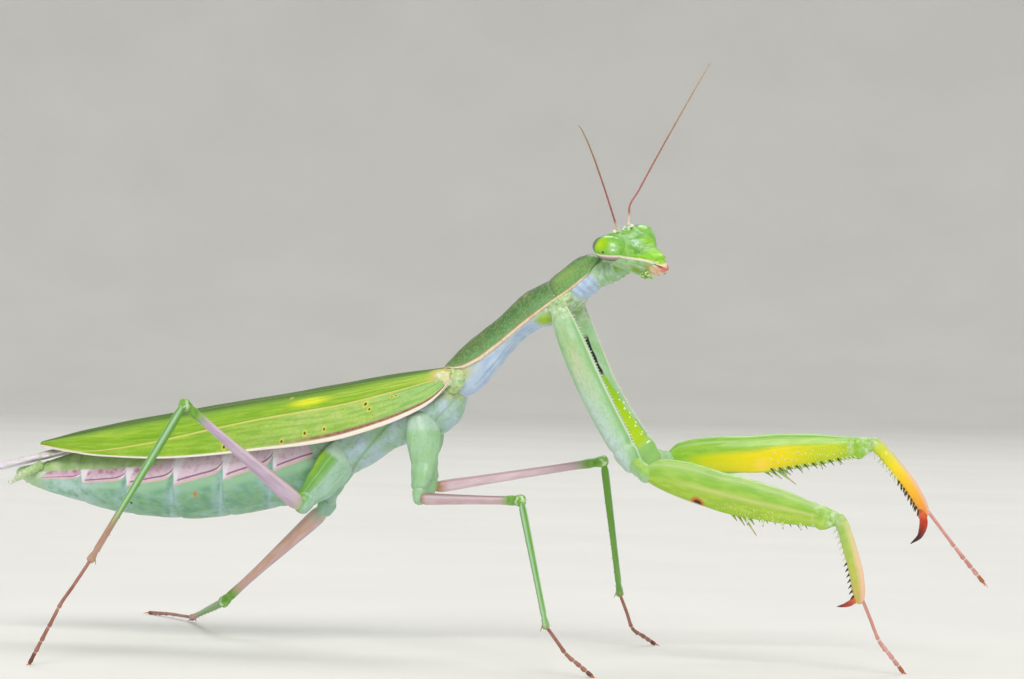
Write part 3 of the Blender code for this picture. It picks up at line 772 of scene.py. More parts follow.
RADIUS_VEIN = smooth((0, 0.52), (-1.5, 0.57), (-8, 0.616), (-17, 0.632), (-24, 0.70), (-28.5, 0.77),
                     (-33, 0.86), (-38, 0.97))
MEDIAN_VEIN = smooth((0, 0.44), (-1.5, 0.47), (-6, 0.47), (-12, 0.46), (-20, 0.47), (-28, 0.52), (-36, 0.62),
                     (-42, 0.85))
CUBITUS_VEIN = smooth((0, 0.40), (-4, 0.33), (-12, 0.27), (-22, 0.24), (-32, 0.32), (-42, 0.6))
# How broad its pale rim is, as a share of the same depth.
MARGIN = smooth((0, 0.05), (-5, 0.045), (-11, 0.034), (-20, 0.022), (-30, 0.016), (-40, 0.012))
# Dark specks on a fore wing: x, share down from the ridge, radius.
SPECKS = ((-7.8, 0.685, 0.15), (-7.35, 0.765, 0.11), (-5.2, 0.676, 0.07), (-4.8, 0.672, 0.08),
          (-11.8, 0.875, 0.11), (-13.75, 0.885, 0.12), (-16.1, 0.94, 0.11), (-22.1, 0.93, 0.13),
          (-10.0, 0.685, 0.06), (-15.9, 0.335, 0.08), (-7.0, 0.85, 0.05))
WING_DEPTH, HIND_WING_DEPTH = 7.0, 3.0  # from ridge to rim, which turns shares into lengths


def fore_wing_finish():
    """Leathery yellow-green, with painted olive shade along the ridge, a fine net of veins, and a cream and
    purple rim.
    """
    f = Finish("fore wing", 0.56, glow_through=0.05)
    veins = f.node("ShaderNodeAttribute", attribute_name="veins")
    off_radius, off_median, off_cubitus = f.parts_of(veins.outputs["Vector"])
    sheet = f.sheet(WING_DEPTH)
    margin = f.curve(f.u, *((x, MARGIN(x)) for x in (-40, -30, -18, -10, 0)))
    from_rim = f.minus(1.0, f.v)
    costal = f.step(off_radius, 0.0, 0.01)
    net = f.cells(0.42, "DISTANCE_TO_EDGE", (1.5, 1, 1), sheet)
    threads = f.under(net, 0.05, 0.05)
    streaks = f.noise(0.32, 3, (9, 1, 1), sheet)
    broad = f.noise(1.2, 3, (7, 1, 1), sheet)
    rear = f.under(f.u, -24, 8)
    from_ridge = f.minus(f.v, f.curve(f.u, (-38, 0.5), (-30, 0.4), (-18, 0.37), (-8, 0.34), (0, 0.26)))
    colour = f.layers(
        f.shades(broad, 0.35, 0.65, (124, 172, 28), (142, 186, 38), (160, 196, 54)),
        (f.both(f.step(f.u, -7.5, 4.5), f.band(f.v, 0.45, 0.1, 0.08)), (174, 202, 74)),
        (f.both(costal, f.step(f.u, -20, 9)), f.cloud(1.5, (164, 202, 92), (180, 206, 118))),
        (f.both(costal, rear), (148, 192, 52)),
        (f.both(costal, f.step(f.u, -5, 4)), (160, 204, 128)),
        (f.step(streaks, 0.54, 0.1), (116, 166, 32), 0.45),
        (f.under(streaks, 0.42, 0.08), (186, 208, 86), 0.35),
        (f.both(threads, costal), (120, 172, 60), 0.28),
        (f.both(threads, f.minus(1.0, costal)), (112, 164, 40), 0.16),
        # Painted shade: the top of the wing, along the ridge, darkened to olive.
        (f.under(from_ridge, 0.05, 0.08), (110, 156, 20), 0.7),
        (f.under(from_ridge, -0.04, 0.07), (58, 96, 8), 0.9),
        (f.spot((-13.9, 0.475 * WING_DEPTH, 0), 0.42, 0.3, (0.24, 1, 1), sheet), (226, 232, 20)),
        (f.band(off_cubitus, 0, 0.004, 0.008), (190, 212, 90), 0.5),
        (f.both(f.band(off_median, 0, 0.003, 0.006), f.step(f.u, -16, 8)), (112, 142, 40)),
        (f.both(f.band(off_median, 0.014, 0.003, 0.006), f.step(f.u, -16, 8)), (196, 214, 92)),
        (f.band(off_radius, 0, 0.012, 0.014), (216, 212, 116)),
        (f.both(f.band(off_radius, -0.028, 0.006, 0.012), f.step(f.u, -28, 4)), (122, 164, 40)),
        (f.both(f.step(f.u, -1.7, 0.6), f.band(f.v, 0.42, 0.2, 0.06)), (206, 196, 104)),
        *((f.spot((x, v * WING_DEPTH, 0), size * 2.1, size, within=sheet), (210, 212, 92)) for x, v,
          size in SPECKS),
        *((f.spot((x, v * WING_DEPTH, 0), size, 0.05, within=sheet), (104, 66, 22)) for x, v,
          size in SPECKS),
        (f.both(f.band(from_rim, f.math("ADD", margin, 0.02), 0.016, 0.016), f.step(f.u, -14.5, 4)),
         f.cloud(0.5, (150, 74, 96), (176, 120, 116))),
        (f.under(from_rim, margin, 0.008), f.cloud(1.0, (246, 238, 222), (246, 232, 226))),
    )
    height = f.math("MULTIPLY_ADD", threads, 0.5, streaks)
    return f.done(colour, height, 0.035)


def hind_wing_finish():
    """Milky and lilac, folded in fine lengthwise pleats."""
    f = Finish("hind wing", 0.35, sheen=0.1, glow_through=0.1)
    pleats = f.noise(0.14, 2, (14, 1, 1), f.sheet(HIND_WING_DEPTH))
    colour = f.layers(
        f.shades(pleats, 0.35, 0.65, (206, 192, 214), (230, 220, 234), (244, 240, 244)),
        (f.both(f.step(f.noise(0.9), 0.55, 0.1), f.step(f.u, -46, 2)), (190, 205, 150)),
        (f.under(f.v, 0.1, 0.05), (214, 176, 186)),
    )
    return f.done(colour, pleats, 0.05)


def knob_finish():
    """Cream cuticle, crumpled over the wing's hinge, with yellow in its hollows."""
    f = Finish("wing hinge", 0.45)
    crumple = f.noise(0.4, 4)
    colour = f.layers(
        f.shades(crumple, 0.3, 0.7, (204, 206, 140), (222, 224, 180), (236, 236, 212)),
        (f.step(f.noise(0.7), 0.6, 0.1), (206, 186, 96), 0.6),
    )
    return f.done(colour, crumple, 0.07)


def wing_sheet(columns, rows, surface, end_places):
    """A thin closed sheet whose outer side is surface(x, v), with its thickness laid inside."""
    mesh = begin()
    rings = [[surface(x, v) for v in spread(0, 1, rows + 1)] for x in end_places(columns + 1)]
    loft(mesh, rings, end_places(columns + 1), closed=False)
    thicken(mesh, 0, 0.5, WING_THICK)
    return mesh


def make_fore_wing(side, label, finish):
    """A leathery fore wing: it lies from the middle of the back down to the flank, and tapers back."""

    def surface(x, v):
        angle = math.radians(90) * v
        down = (RIDGE(x) - WING_EDGE(x)) * (1 - math.cos(angle) ** 0.9)
        across = 0.1 + (WING_SPREAD(x) - 0.1) * math.sin(angle)
        vein = 0.08 * bell(v - RADIUS_VEIN(x), 0.012) + 0.035 * bell(v - MEDIAN_VEIN(x), 0.01)
        vein += 0.035 * bell(v - CUBITUS_VEIN(x), 0.01)
        rim = 0.1 * ease(v, 1 - MARGIN(x) - 0.012, 1 - MARGIN(x) + 0.012)
        out = vein + rim - 0.07 * bell(v - (1 - MARGIN(x) - 0.02), 0.018)
        out += 0.05 * ripple(x * 0.25, v * 5, 0)
        height = RIDGE(x) - down + out * math.cos(angle)
        return trunk_point(x, side * (across + out * math.sin(angle)), height)

    def places(count):
        return [0.5 - 44.0 * (1 - (1 - u) ** 1.3) for u in spread(0, 1, count)]

    mesh = wing_sheet(260, 130, surface, places)
    uv = mesh.loops.layers.uv.active
    veins = mesh.verts.layers.float_vector.new("veins")
    for corner in mesh.verts:
        x, v = corner.link_loops[0][uv].uv
        corner[veins] = (v - RADIUS_VEIN(x), v - MEDIAN_VEIN(x), v - CUBITUS_VEIN(x))
    add_piece("tegmen_blade_" + label, mesh, [finish], ["tegmen_" + label],
              TRUNK_MIDDLE, TRUNK, recalculate=False)


def make_hind_wing(side, label, finish):
    """The folded hind wing lies under the fore wing, and its tip stands out behind it."""
    reach = smooth((-14, 2.2), (-30, 2.9), (-38, 2.3), (-43.6, 1.7), (-47, 1.6), (-49.4, 1.2), (-50.4, 0.6))
    heights = smooth((-14, 25.3), (-26, 23.15), (-37.5, 20.8), (-41, 19.6), (-43.6, 18.95), (-50.4, 17.2))

    def surface(x, v):
        across = 0.25 + (reach(x) - 0.25) * v
        fan = 0.06 * math.sin(v * 22) * ease(-x, 30, 44)
        return trunk_point(x, side * across, heights(x) - 0.55 * v * v + fan)

    def places(count):
        return [-14.0 - 36.4 * (1 - (1 - u) ** 1.4) for u in spread(0, 1, count)]

    mesh = wing_sheet(120, 40, surface, places)
    add_piece("hind_wing_blade_" + label, mesh, [finish], ["hindwing_" + label],
              Vector((WAIST.x, WAIST.y, 20)), TRUNK, recalculate=False)


# ---- Prothorax and neck ----

PROTHORAX = axes(*PROTHORAX_HEADING)
NECK_END = WAIST + PROTHORAX[0] * NECKLINE
HEAD = axes(*HEAD_HEADING, HEAD_ROLL)
HEAD_MIDDLE = NECK_END + EYES_FROM_NECKLINE
SHIELD_WIDTH = smooth((-0.7, 0.7), (0.3, 1.7), (3, 1.65), (6.5, 1.5), (9, 1.65), (12, 2.1), (14, 2.35),
                      (17, 1.95), (19.3, 1.6), (20.6, 0.8))
SHIELD_TOP = smooth((-0.7, 0.4), (0.6, 1.5), (4, 1.8), (7.5, 1.7), (11.6, 1.95), (14.6, 1.35), (17.6, 1.3),
                    (19.4, 1.0), (20.6, 0.1))
SHIELD_SEAM = smooth((-0.7, -0.4), (2, -0.8), (9, -0.95), (13, -1.25), (17, -1.35), (20.6, -1.0))
# The lower edge of the shield: it lies on the seam, but rises at both ends.
SHIELD_EDGE = smooth((-0.7, 0.35), (0.6, 0.72), (1.6, 0.05), (2.4, -0.4), (3.6, -0.72), (5.2, -0.93),
                     (9, -0.95), (13, -1.22), (16, -1.36), (18.9, -1.2), (19.9, -0.75), (20.6, -0.35))
CHEST_BELLY = smooth((-0.7, -2.2), (1.7, -2.7), (5.3, -2.1), (8.3, -1.5), (10.5, -1.6), (12, -2.1),
                     (14, -2.5), (18.5, -2.5), (20.6, -1.9))
GROOVE = 14.6  # where the cross groove of the shield lies
TOOTH_PITCH = 0.55  # between the fine teeth on the edge of the shield
SHIELD_CURL = 9  # degrees that the edge of the shield curls under
SHIELD_THICK = 0.2


def on_prothorax(along, across, above):
    forward, left, up = PROTHORAX
    return WAIST + forward * along + left * across + up * above


def on_head(towards_mouth, across, out):
    forward, left, up = HEAD
    return HEAD_MIDDLE + forward * towards_mouth + left * across + up * out


def pronotum_finish():
    """Deep green, olive along the back and blue-green low down, partly a painted sheen, with a cream rim
    edged in orange.
    """
    f = Finish("pronotum", 0.36, sheen=0.05, coat=0.25)
    off = f.off(f.v, 0.5)
    mottle = f.noise(0.9, 4, (1.6, 1, 1))
    fine = f.noise(0.2, 4)
    groove = f.band(f.u, f.math("MULTIPLY_ADD", off, 0.9, GROOVE), 0.06, 0.14)
    rim = f.curve(f.u, (0, 0.41), (4, 0.425), (14, 0.437), (20, 0.452))
    front = f.step(f.u, GROOVE + 0.4, 0.4)
    pits = f.cells(0.28)
    colour = f.layers(
        # Olive on the keel to green on the flank; the blue-green at the edge is partly a painted sheen.
        f.shades(off, 0.0, 0.44, (58, 78, 30), (62, 84, 32), (66, 98, 38), (72, 114, 46), (80, 130, 62),
                 (98, 150, 86), (122, 172, 112)),
        (f.both(front, f.step(off, 0.2, 0.14)), (108, 162, 84)),
        (f.both(front, f.spot((17.2, -1.7, 0.3), 0.7, 0.5, (0.5, 1, 1))), (134, 172, 84)),
        (f.step(mottle, 0.54, 0.14), (66, 110, 50), 0.22),
        (f.under(mottle, 0.42, 0.12), (120, 156, 84), 0.2),
        (f.step(f.noise(1.8, 3), 0.55, 0.1), (122, 118, 60), 0.3),
        (f.both(f.step(pits, 0.55, 0.1), f.step(off, 0.1, 0.1)), (150, 196, 130), 0.25),
        (f.both(f.band(f.u, GROOVE - 2.6, 0.25, 0.3), f.band(off, 0.17, 0.02, 0.03)), (150, 172, 120)),
        (groove, (132, 176, 144), 0.5),
        (f.band(f.u, GROOVE + 0.5, 0.1, 0.2), (62, 96, 46), 0.5),
        (f.under(f.u, -0.1, 0.5), (92, 118, 74)),
        (f.both(f.band(off, f.minus(rim, 0.006), 0.004, 0.012), f.under(f.u, 18, 1.2)),
         f.mix(f.step(f.u, 12, 4), (188, 128, 76), (170, 132, 84))),
        (f.both(f.step(off, rim, 0.008), f.under(f.u, 19, 0.8)),
         f.cloud(0.9, (228, 202, 170), (238, 222, 198), (226, 194, 166))),
    )
    height = f.math("MULTIPLY_ADD", fine, 0.6, f.math("MULTIPLY", pits, 0.5))
    return f.done(colour, height, 0.05)


def make_pronotum():
    """The long shield over the prothorax: keeled, grooved across, with a finely toothed edge."""
    mesh = begin()
    places = spread(-0.7, 20.6, 230)
    rings = []
    for s in places:
        ring = []
        seam, top = SHIELD_SEAM(s), SHIELD_TOP(s)
        lowest = math.degrees(math.asin(max(min((SHIELD_EDGE(s) - seam) / (top - seam), 0.9), 0.0)))
        for degrees in spread(lowest - SHIELD_CURL, 180 + SHIELD_CURL - lowest, 97):
            angle = math.radians(max(min(degrees, 180 - lowest), lowest))
            from_edge = min(degrees - lowest, 180 - lowest - degrees)
            tooth = 0.05 * abs((s / TOOTH_PITCH) % 1 - 0.5)
            lip = (0.13 + tooth) * bell(from_edge, 7)
            keel = 0.07 * bell(degrees - 90, 5) * ease(s, 0.5, 2) * (1 - ease(s, 18, 20))
            sweep = GROOVE + 0.45 * abs(math.cos(angle)) ** 2
            groove = 0.07 * bell(s - sweep, 0.22) + 0.04 * bell(s - sweep + 2.4, 0.6)
            groove += 0.05 * bell(s - 19.2, 0.3)
            out = lip + keel - groove * ease(from_edge, 4, 24)
            out += 0.05 * ripple(s * 0.9, math.cos(angle) * 2, 3)
            under = max(-from_edge, 0) * 0.012
            across = math.cos(angle) * (SHIELD_WIDTH(s) + out - under * 2)
            ring.append(on_prothorax(s, across, seam - under + math.sin(angle) * (top - seam + out)))
        rings.append(ring)
    loft(mesh, rings, places, closed=False)
    thicken(mesh, 2, 1.0, SHIELD_THICK)
    add_piece("pronotum_shield", mesh, [pronotum_finish()], ["prothorax"], WAIST, PROTHORAX,
              recalculate=False)


def chest_finish():
    """Powdery lavender blue, with mint folds and a yellow-green cushion where the fore legs are set in."""
    f = Finish("chest", 0.5, sheen=0.15)
    folds = f.noise(0.5, 4, (2.4, 1, 1))
    hips = f.band(f.along, 14.9, 1.7, 0.5)
    cushion = f.spot((12.6, 1.5, -1.9), 1.0, 0.5, (1, 1, 1), f.folded())
    colour = f.layers(
        f.shades(folds, 0.3, 0.7, (168, 192, 226), (184, 206, 236), (204, 220, 240)),
        (f.both(f.step(f.above, -1.6, 0.6), f.under(f.along, 3.6, 1.6)), (190, 208, 196)),
        (f.both(f.step(f.above, -1.3, 0.5), f.under(f.along, 2.6, 0.8)), (198, 194, 122)),
        (hips, f.shades(folds, 0.4, 0.6, (150, 190, 120), (180, 210, 170), (206, 222, 200))),
        (f.step(f.along, 19.2, 0.5), (172, 206, 160)),
        (cushion, (164, 204, 58)),
    )
    return f.done(colour, folds, 0.12)


def make_chest():
    """The underside of the prothorax, with soft folds where the fore legs are set in."""
    places = spread(-0.7, 20.6, 190)
    rings = []
    for s in places:
        wrinkle = 0.06 * math.sin(s * 9) * ease(s, 12, 14)

        def relief(degrees, wrinkle=wrinkle):
            above = math.sin(math.radians(degrees))
            return -0.4 * ease(above, 0.1, 0.5) if above > 0 else wrinkle

        rings.append(
            girdle(on_prothorax(s, 0, 0), PROTHORAX, SHIELD_WIDTH(s) - 0.12, SHIELD_TOP(s) - 0.1,
                   SHIELD_SEAM(s), CHEST_BELLY(s), 80, relief)
        )
    mesh = shell(rings, places, 0.1)

    def relief(along, left, above):
        seam = 0.12 * bell(along - 9.2, 0.25) + 0.1 * bell(abs(left) - 0.75, 0.1) * ease(along, 1, 3)
        cushion = 0.25 * bell(math.hypot(along - 12.6, above + 1.9), 0.9)
        return cushion - seam * (above < -1.2) + 0.05 * ripple(along, left, above, 1.1)

    carve(mesh, WAIST, PROTHORAX, relief)
    add_piece("chest_plates", mesh, [chest_finish()], (), WAIST, PROTHORAX)


def neck_finish():
    f = Finish("neck skin", 0.5, sheen=0.1)
    folds = f.noise(0.32, 4, (1, 2.6, 2.6))
    colour = f.layers(
        f.shades(folds, 0.3, 0.7, (140, 184, 124), (160, 200, 154), (180, 208, 186), (202, 220, 214)),
        (f.both(f.step(f.noise(0.8), 0.55, 0.12), f.step(f.along, 2.0, 0.8)), (148, 192, 96)),
    )
    return f.done(colour, folds, 0.1)


def make_neck():
    start = on_prothorax(18.4, 0, -1.0)
    end = on_head(1.1, 0, -1.3)
    spine = bent([start, start.lerp(end, 0.5) + Vector((0, 0, -0.3)), end], 90)
    mesh = begin()

    def relief(s, degrees):
        wave = 1.5 * math.sin(math.radians(degrees) * 2) + 1.2 * ripple(s, degrees / 60, 0)
        return 0.07 * math.sin(s * 11 + wave)

    limb(mesh, spine, smooth((0, 1.35), (0.4, 1.2), (0.75, 1.15), (1, 1.1)), sides=64, relief=relief)
    add_piece("neck_folds", mesh, [neck_finish()], ["neck"], start, segment_frame(start, end))


# ---- Head ----
# Places on the head are measured towards the mouth, to the left, and out of the face.

FACE_WIDTH = smooth((-1.6, 1.0), (-1.2, 1.8), (-0.5, 2.5), (0.3, 2.75), (1.0, 2.6), (1.9, 2.2), (2.7, 1.8),
                    (3.8, 1.3), (4.8, 0.95))
FACE_TOP = smooth((-1.6, -0.1), (-1.1, 0.4), (-0.6, 0.9), (-0.3, 1.05), (1.0, 1.0), (2.5, 0.85), (4.8, 0.5))
FACE_FULLNESS = 0.72
FACE_SEAM = smooth((-1.6, -0.3), (0, -0.6), (1.9, -0.5), (2.9, -0.3), (4.8, 0.1))
FACE_BACK = smooth((-1.6, -0.8), (-0.8, -1.5), (0, -1.9), (1.5, -2.3), (2.8, -2.3), (3.8, -1.7), (4.8, -0.7))
# The cream line that runs from behind each eye to the mouth: how far out it lies on its way there.
CHEEK_LINE = ((-1.2, -0.72), (-0.7, -0.52), (0.3, -0.33), (1.1, -0.16), (1.7, -0.07), (2.8, -0.05),
              (3.55, 0.07), (4.55, 0.16), (6.0, 0.12))
FEELER_ROOT = (-0.27, 0.68, 1.05)
FEELER_LENGTH, FEELER_RING, PALP_JOINT = 18.6, 0.42, 0.5
OCELLUS_PLACE = (-0.38, 1.2, 1.16)


def eye_centre(side):
    down, across, out = EYE_PLACE
    return on_head(down, side * across, out)


def eye_frame(side):
    """Towards the mouth, across and out of the face, turned with the eye."""
    forward, left, up = HEAD
    turn = Matrix.Rotation(math.radians(-EYE_LEAN * side), 3, up)
    return turn @ forward, turn @ left, up


def head_finish():
    """Bright green with a milky bloom, yellow-green about the mouth, and a cream line on each cheek."""
    f = Finish("head", 0.42, coat=0.1)
    folded = f.folded()
    off_line = f.minus(f.above, f.curve(f.along, *CHEEK_LINE))
    below = f.under(off_line, -0.12, 0.04)
    bloom = f.noise(0.55, 4)
    grain = f.noise(0.16, 4)
    colour = f.layers(
        f.cloud(1.1, (112, 174, 56), (130, 188, 68), (146, 196, 92)),
        (f.step(bloom, 0.53, 0.09), (150, 204, 140), 0.35),
        (f.spot((0.9, 1.15, 1.0), 0.8, 0.5, within=folded), (150, 204, 140), 0.5),
        (f.spot((1.3, -0.4, 1.1), 0.55, 0.4), (152, 204, 140), 0.5),
        (f.spot((2.3, 0.9, 0.7), 0.75, 0.4), (142, 204, 44)),
        (f.spot((4.3, -0.1, 0.6), 0.75, 0.4), (150, 214, 44)),
        (f.spot((4.45, 0.45, 0.5), 0.35, 0.2), (170, 226, 60)),
        (f.both(f.spot((2.95, -1.25, 0.45), 0.5, 0.3, (0.7, 1, 1)), f.step(f.noise(0.35), 0.44, 0.08)),
         (92, 156, 44)),
        (f.both(f.band(off_line, 0.34, 0.1, 0.08), f.band(f.along, 3.6, 0.9, 0.2)), (138, 206, 26)),
        # Painted highlight: a white glint on the right of the face, in a pale broken patch.
        (f.both(f.spot((1.95, -0.62, 0.9), 0.5, 0.2, (0.6, 1, 1)), f.step(f.noise(0.3), 0.5, 0.06)),
         (182, 220, 190)),
        (f.spot((1.84, -0.79, 0.75), 0.1, 0.05), (240, 250, 235)),
        (below, f.shades(bloom, 0.3, 0.7, (138, 184, 112), (162, 200, 142), (186, 212, 176))),
        (f.both(below, f.spot((3.1, 1.2, -1.2), 0.45, 0.25, within=folded)), (132, 170, 40)),
        (f.both(below, f.spot((4.3, 1.0, -0.55), 0.3, 0.2, within=folded)), (196, 170, 90)),
        (f.both(f.band(off_line, 0, 0.12, 0.05), f.step(f.noise(0.25, 2), 0.3, 0.1)), (240, 234, 206)),
        (f.both(f.band(off_line, 0.12, 0.03, 0.04), f.step(f.along, 3.0, 0.6)), (214, 214, 132)),
    )
    height = f.math("MULTIPLY_ADD", grain, 0.6, bloom)
    return f.done(colour, height, 0.07)


def eye_finish():
    """Glossy green with a yellow-green crown, a painted pale reflection and glint, and a cream and mauve
    band below.
    """
    f = Finish("eye", 0.26, coat=0.22)
    folded = f.folded()
    off_line = f.minus(f.above, f.curve(f.along, *CHEEK_LINE))
    facets = f.cells(0.05)
    colour = f.layers(
        f.cloud(1.3, (108, 176, 50), (120, 186, 64), (134, 194, 84)),
        # Painted reflection: a pale, broken patch on the outer side of each eye.
        (f.both(f.spot((1.25, 2.85, 0.7), 0.5, 0.4, within=folded), f.step(f.noise(0.3, 4), 0.44, 0.12)),
         (168, 214, 148)),
        (f.spot((0.0, 3.3, 0.72), 0.8, 0.42, within=folded), (148, 202, 8)),
        (f.spot((-0.15, 3.45, 0.6), 0.5, 0.4, within=folded), (172, 212, 10)),
        # Painted highlight: a small white glint within that reflection.
        (f.spot((1.3, 2.95, 0.5), 0.15, 0.1, (1, 1, 1.4), folded), (226, 240, 206)),
        (f.under(f.along, -0.5, 0.25), (92, 116, 84)),
        (f.under(off_line, -0.1, 0.05),
         f.shades(off_line, -0.75, -0.1, (88, 92, 84), (128, 112, 122), (166, 142, 156), (214, 190, 186))),
        (f.band(off_line, -0.02, 0.1, 0.05), (242, 234, 204)),
        (f.band(off_line, -0.62, 0.03, 0.04), (84, 84, 80)),
        (f.under(off_line, -0.72, 0.05), (176, 198, 168)),
        (f.spot((0.57, 3.53, 0.08), 0.11, 0.05, within=folded), (24, 30, 14)),
    )
    return f.done(colour, facets, 0.004)


def ocellus_finish():
    f = Finish("ocellus", 0.12, coat=0.6)
    return f.done(f.cloud(0.2, (226, 230, 196), (248, 248, 232)), f.noise(0.1), 0.01)


def face_relief(down, across, out):
    """The plates of the face: down is towards the mouth, across to the left, out of the face."""
    wide = abs(across)
    front = ease(out, -0.35, 0.15)
    shield = ease(down, 0.35, 0.5) * (1 - ease(down, 1.25, 1.4)) * (1 - ease(wide, 0.95, 1.1))
    lip = ease(down, 2.55, 2.7) * (1 - ease(wide, 0.62, 0.78))
    clypeus = ease(down, 1.5, 1.65) * (1 - ease(down, 2.4, 2.5)) * (1 - ease(wide, 1.0, 1.15))
    keels = bell(wide - 0.32, 0.09) * ease(down, 0.5, 0.7) * (1 - ease(down, 1.1, 1.3))
    crease = bell(clypeus - 0.5, 0.3) * (down > 1.4)
    socket = math.hypot(down - FEELER_ROOT[0], wide - FEELER_ROOT[1])
    rim = 0.1 * bell(socket - 0.36, 0.08) - 0.08 * bell(socket, 0.22)
    mound = 0.12 * bell(math.hypot(down + 0.75, across), 0.55)
    face = 0.08 * shield + 0.05 * keels + 0.07 * clypeus + 0.09 * lip - 0.04 * crease
    return (face + rim + mound) * front


def make_head():
    """The head capsule: a triangle seen from the front, which swells up softly to meet the eyes."""
    places = spread(-1.6, 4.8, 150)
    rings = [
        girdle(on_head(s, 0, 0), HEAD, FACE_WIDTH(s), FACE_TOP(s), FACE_SEAM(s), FACE_BACK(s), 150,
               fullness=FACE_FULLNESS)
        for s in places
    ]
    mesh = shell(rings, places, 0.15)
    orbits = [(eye_centre(side), eye_frame(side)) for side in (1, -1)]

    def relief(down, across, out):
        total = face_relief(down, across, out)
        total -= 0.05 * bell(out + 0.62, 0.1) * ease(down, 1.8, 2.4)
        total += 0.03 * ripple(down, across, out, 2.2)
        point = on_head(down, across, out)
        for centre, frame in orbits:
            reach = math.hypot(*(d / r for d, r in zip(measure(point, centre, frame), EYE_RADII)))
            swell = bell(max(reach - 1.0, 0), 0.3) * ease(reach, 0.8, 1.0)
            total += 0.3 * swell * (0.4 + 0.6 * ease(out, -0.6, 0.2))
        return total

    carve(mesh, HEAD_MIDDLE, HEAD, relief)
    add_piece("head_capsule", mesh, [head_finish()], ["head"], HEAD_MIDDLE, HEAD)


def make_eye(side, label, finish):
    """An egg-shaped eye that wraps round the upper corner of the head."""
    mesh = begin()
    forward, left, up = eye_frame(side)
    turned = Matrix((forward, left, up)).transposed().to_4x4()
    place = Matrix.Translation(eye_centre(side)) @ turned @ Matrix.Diagonal((*EYE_RADII, 1))
    bmesh.ops.create_uvsphere(mesh, u_segments=96, v_segments=64, radius=1.0, matrix=place, calc_uvs=True)
    add_piece("eye_dome_" + label, mesh, [finish], ["eye_" + label], HEAD_MIDDLE, HEAD)


def make_ocelli():
    """The pale beads of the simple eyes, by the roots of the feelers and between them."""
    mesh = begin()
    down, across, out = OCELLUS_PLACE
    for side in (1, -1):
        bead(mesh, on_head(down, side * across, out + 0.14), 0.2, squash=(1.2, 1, 1), detail=3)
        bead(mesh, on_head(down + 0.1, side * (across - 0.22), out + 0.2), 0.12, detail=3)
        bead(mesh, on_head(down - 0.3, side * (across - 0.7), out + 0.05), 0.13, detail=3)
    bead(mesh, on_head(-0.35, 0.0, out + 0.1), 0.12, detail=3)
    add_piece("ocelli", mesh, [ocellus_finish()], (), HEAD_MIDDLE, HEAD)


def feeler_finish():
    """A milky green root joint, then a red-brown thread that pales to straw at the tip."""
    f = Finish("feeler", 0.42)
    rings = f.band(f.cycle(f.u, FEELER_RING), 0.5, 0.1, 0.08)
    colour = f.layers(
        f.shades(f.u, 0.9, 18.0, (192, 112, 124), (176, 104, 106), (168, 118, 100), (178, 148, 112),
                 (190, 166, 122)),
        (f.step(f.noise(0.6), 0.55, 0.1), (150, 92, 84), 0.4),
        (rings, (110, 64, 58), 0.3),
        (f.under(f.u, 1.5, 0.35), (226, 200, 190)),
        (f.under(f.u, 0.75, 0.3), f.cloud(0.3, (168, 200, 130), (214, 226, 190), (232, 236, 218))),
    )
    return f.done(colour, f.noise(0.1), 0.02)


def make_feeler(side, label, first, last, haste, finish):
    """A thick root joint, a short second one, and a long thread of small rings."""
    down, across, out = FEELER_ROOT
    root = on_head(down, side * across, out)
    spine = bent(arc(root, first, last, haste, FEELER_LENGTH, 10), 400)
    mesh = begin()
    thick = smooth((0, 0.2), (0.02, 0.19), (0.036, 0.17), (0.042, 0.11), (0.052, 0.14), (0.064, 0.12),
                   (0.085, 0.105), (0.6, 0.085), (1, 0.05))
    limb(mesh, spine, thick, sides=12, up=Vector((1, 0, 0)),
         relief=lambda s, _: -0.015 * bell((s / FEELER_RING) % 1 - 0.5, 0.18) * ease(s, 2.0, 2.4))
    add_piece("feeler_" + label, mesh, [finish], ["antenna_" + label], root,
              segment_frame(root, spine[-1], Vector((1, 0, 0))))


def mouth_finish():
    """Cream and flesh pink, redder at the tip, with a dark slit between lip and jaw."""
    f = Finish("mouth", 0.36, coat=0.3)
    slit = f.minus(f.above, f.curve(f.along, (4.4, 0.0), (5.0, -0.05), (5.6, -0.13), (6.2, -0.3)))
    fibres = f.noise(0.22, 4, (2.5, 1, 1))
    colour = f.layers(
        f.shades(fibres, 0.3, 0.7, (222, 168, 140), (232, 192, 160), (240, 214, 186)),
        (f.under(f.along, 4.7, 0.35), (176, 200, 126)),
        (f.both(f.step(slit, 0.1, 0.04), f.under(f.along, 5.45, 0.2)),
         f.cloud(0.4, (138, 200, 40), (164, 212, 62))),
        (f.both(f.band(slit, 0.1, 0.055, 0.03), f.under(f.along, 5.6, 0.1)), (240, 226, 196)),
        (f.spot((5.85, 0.35, -0.35), 0.3, 0.2, within=f.folded()), (218, 140, 120)),
        (f.both(f.band(slit, -0.1, 0.07, 0.06), f.step(f.along, 5.2, 0.15)), (204, 116, 98)),
        (f.both(f.band(slit, 0, 0.05, 0.03), f.band(f.along, 5.2, 0.42, 0.08)), (52, 20, 20)),
        (f.both(f.step(slit, 0.1, 0.04), f.step(f.along, 5.5, 0.12)), (244, 222, 196)),
    )
    return f.done(colour, fibres, 0.05)


def palp_finish():
    f = Finish("palp", 0.42)
    colour = f.layers(
        f.cloud(0.3, (128, 176, 70), (170, 200, 120), (214, 222, 180)),
        (f.band(f.cycle(f.u, PALP_JOINT), 0.5, 0.06, 0.06), (84, 92, 50), 0.7),
    )
    return f.done(colour, f.noise(0.12), 0.03)


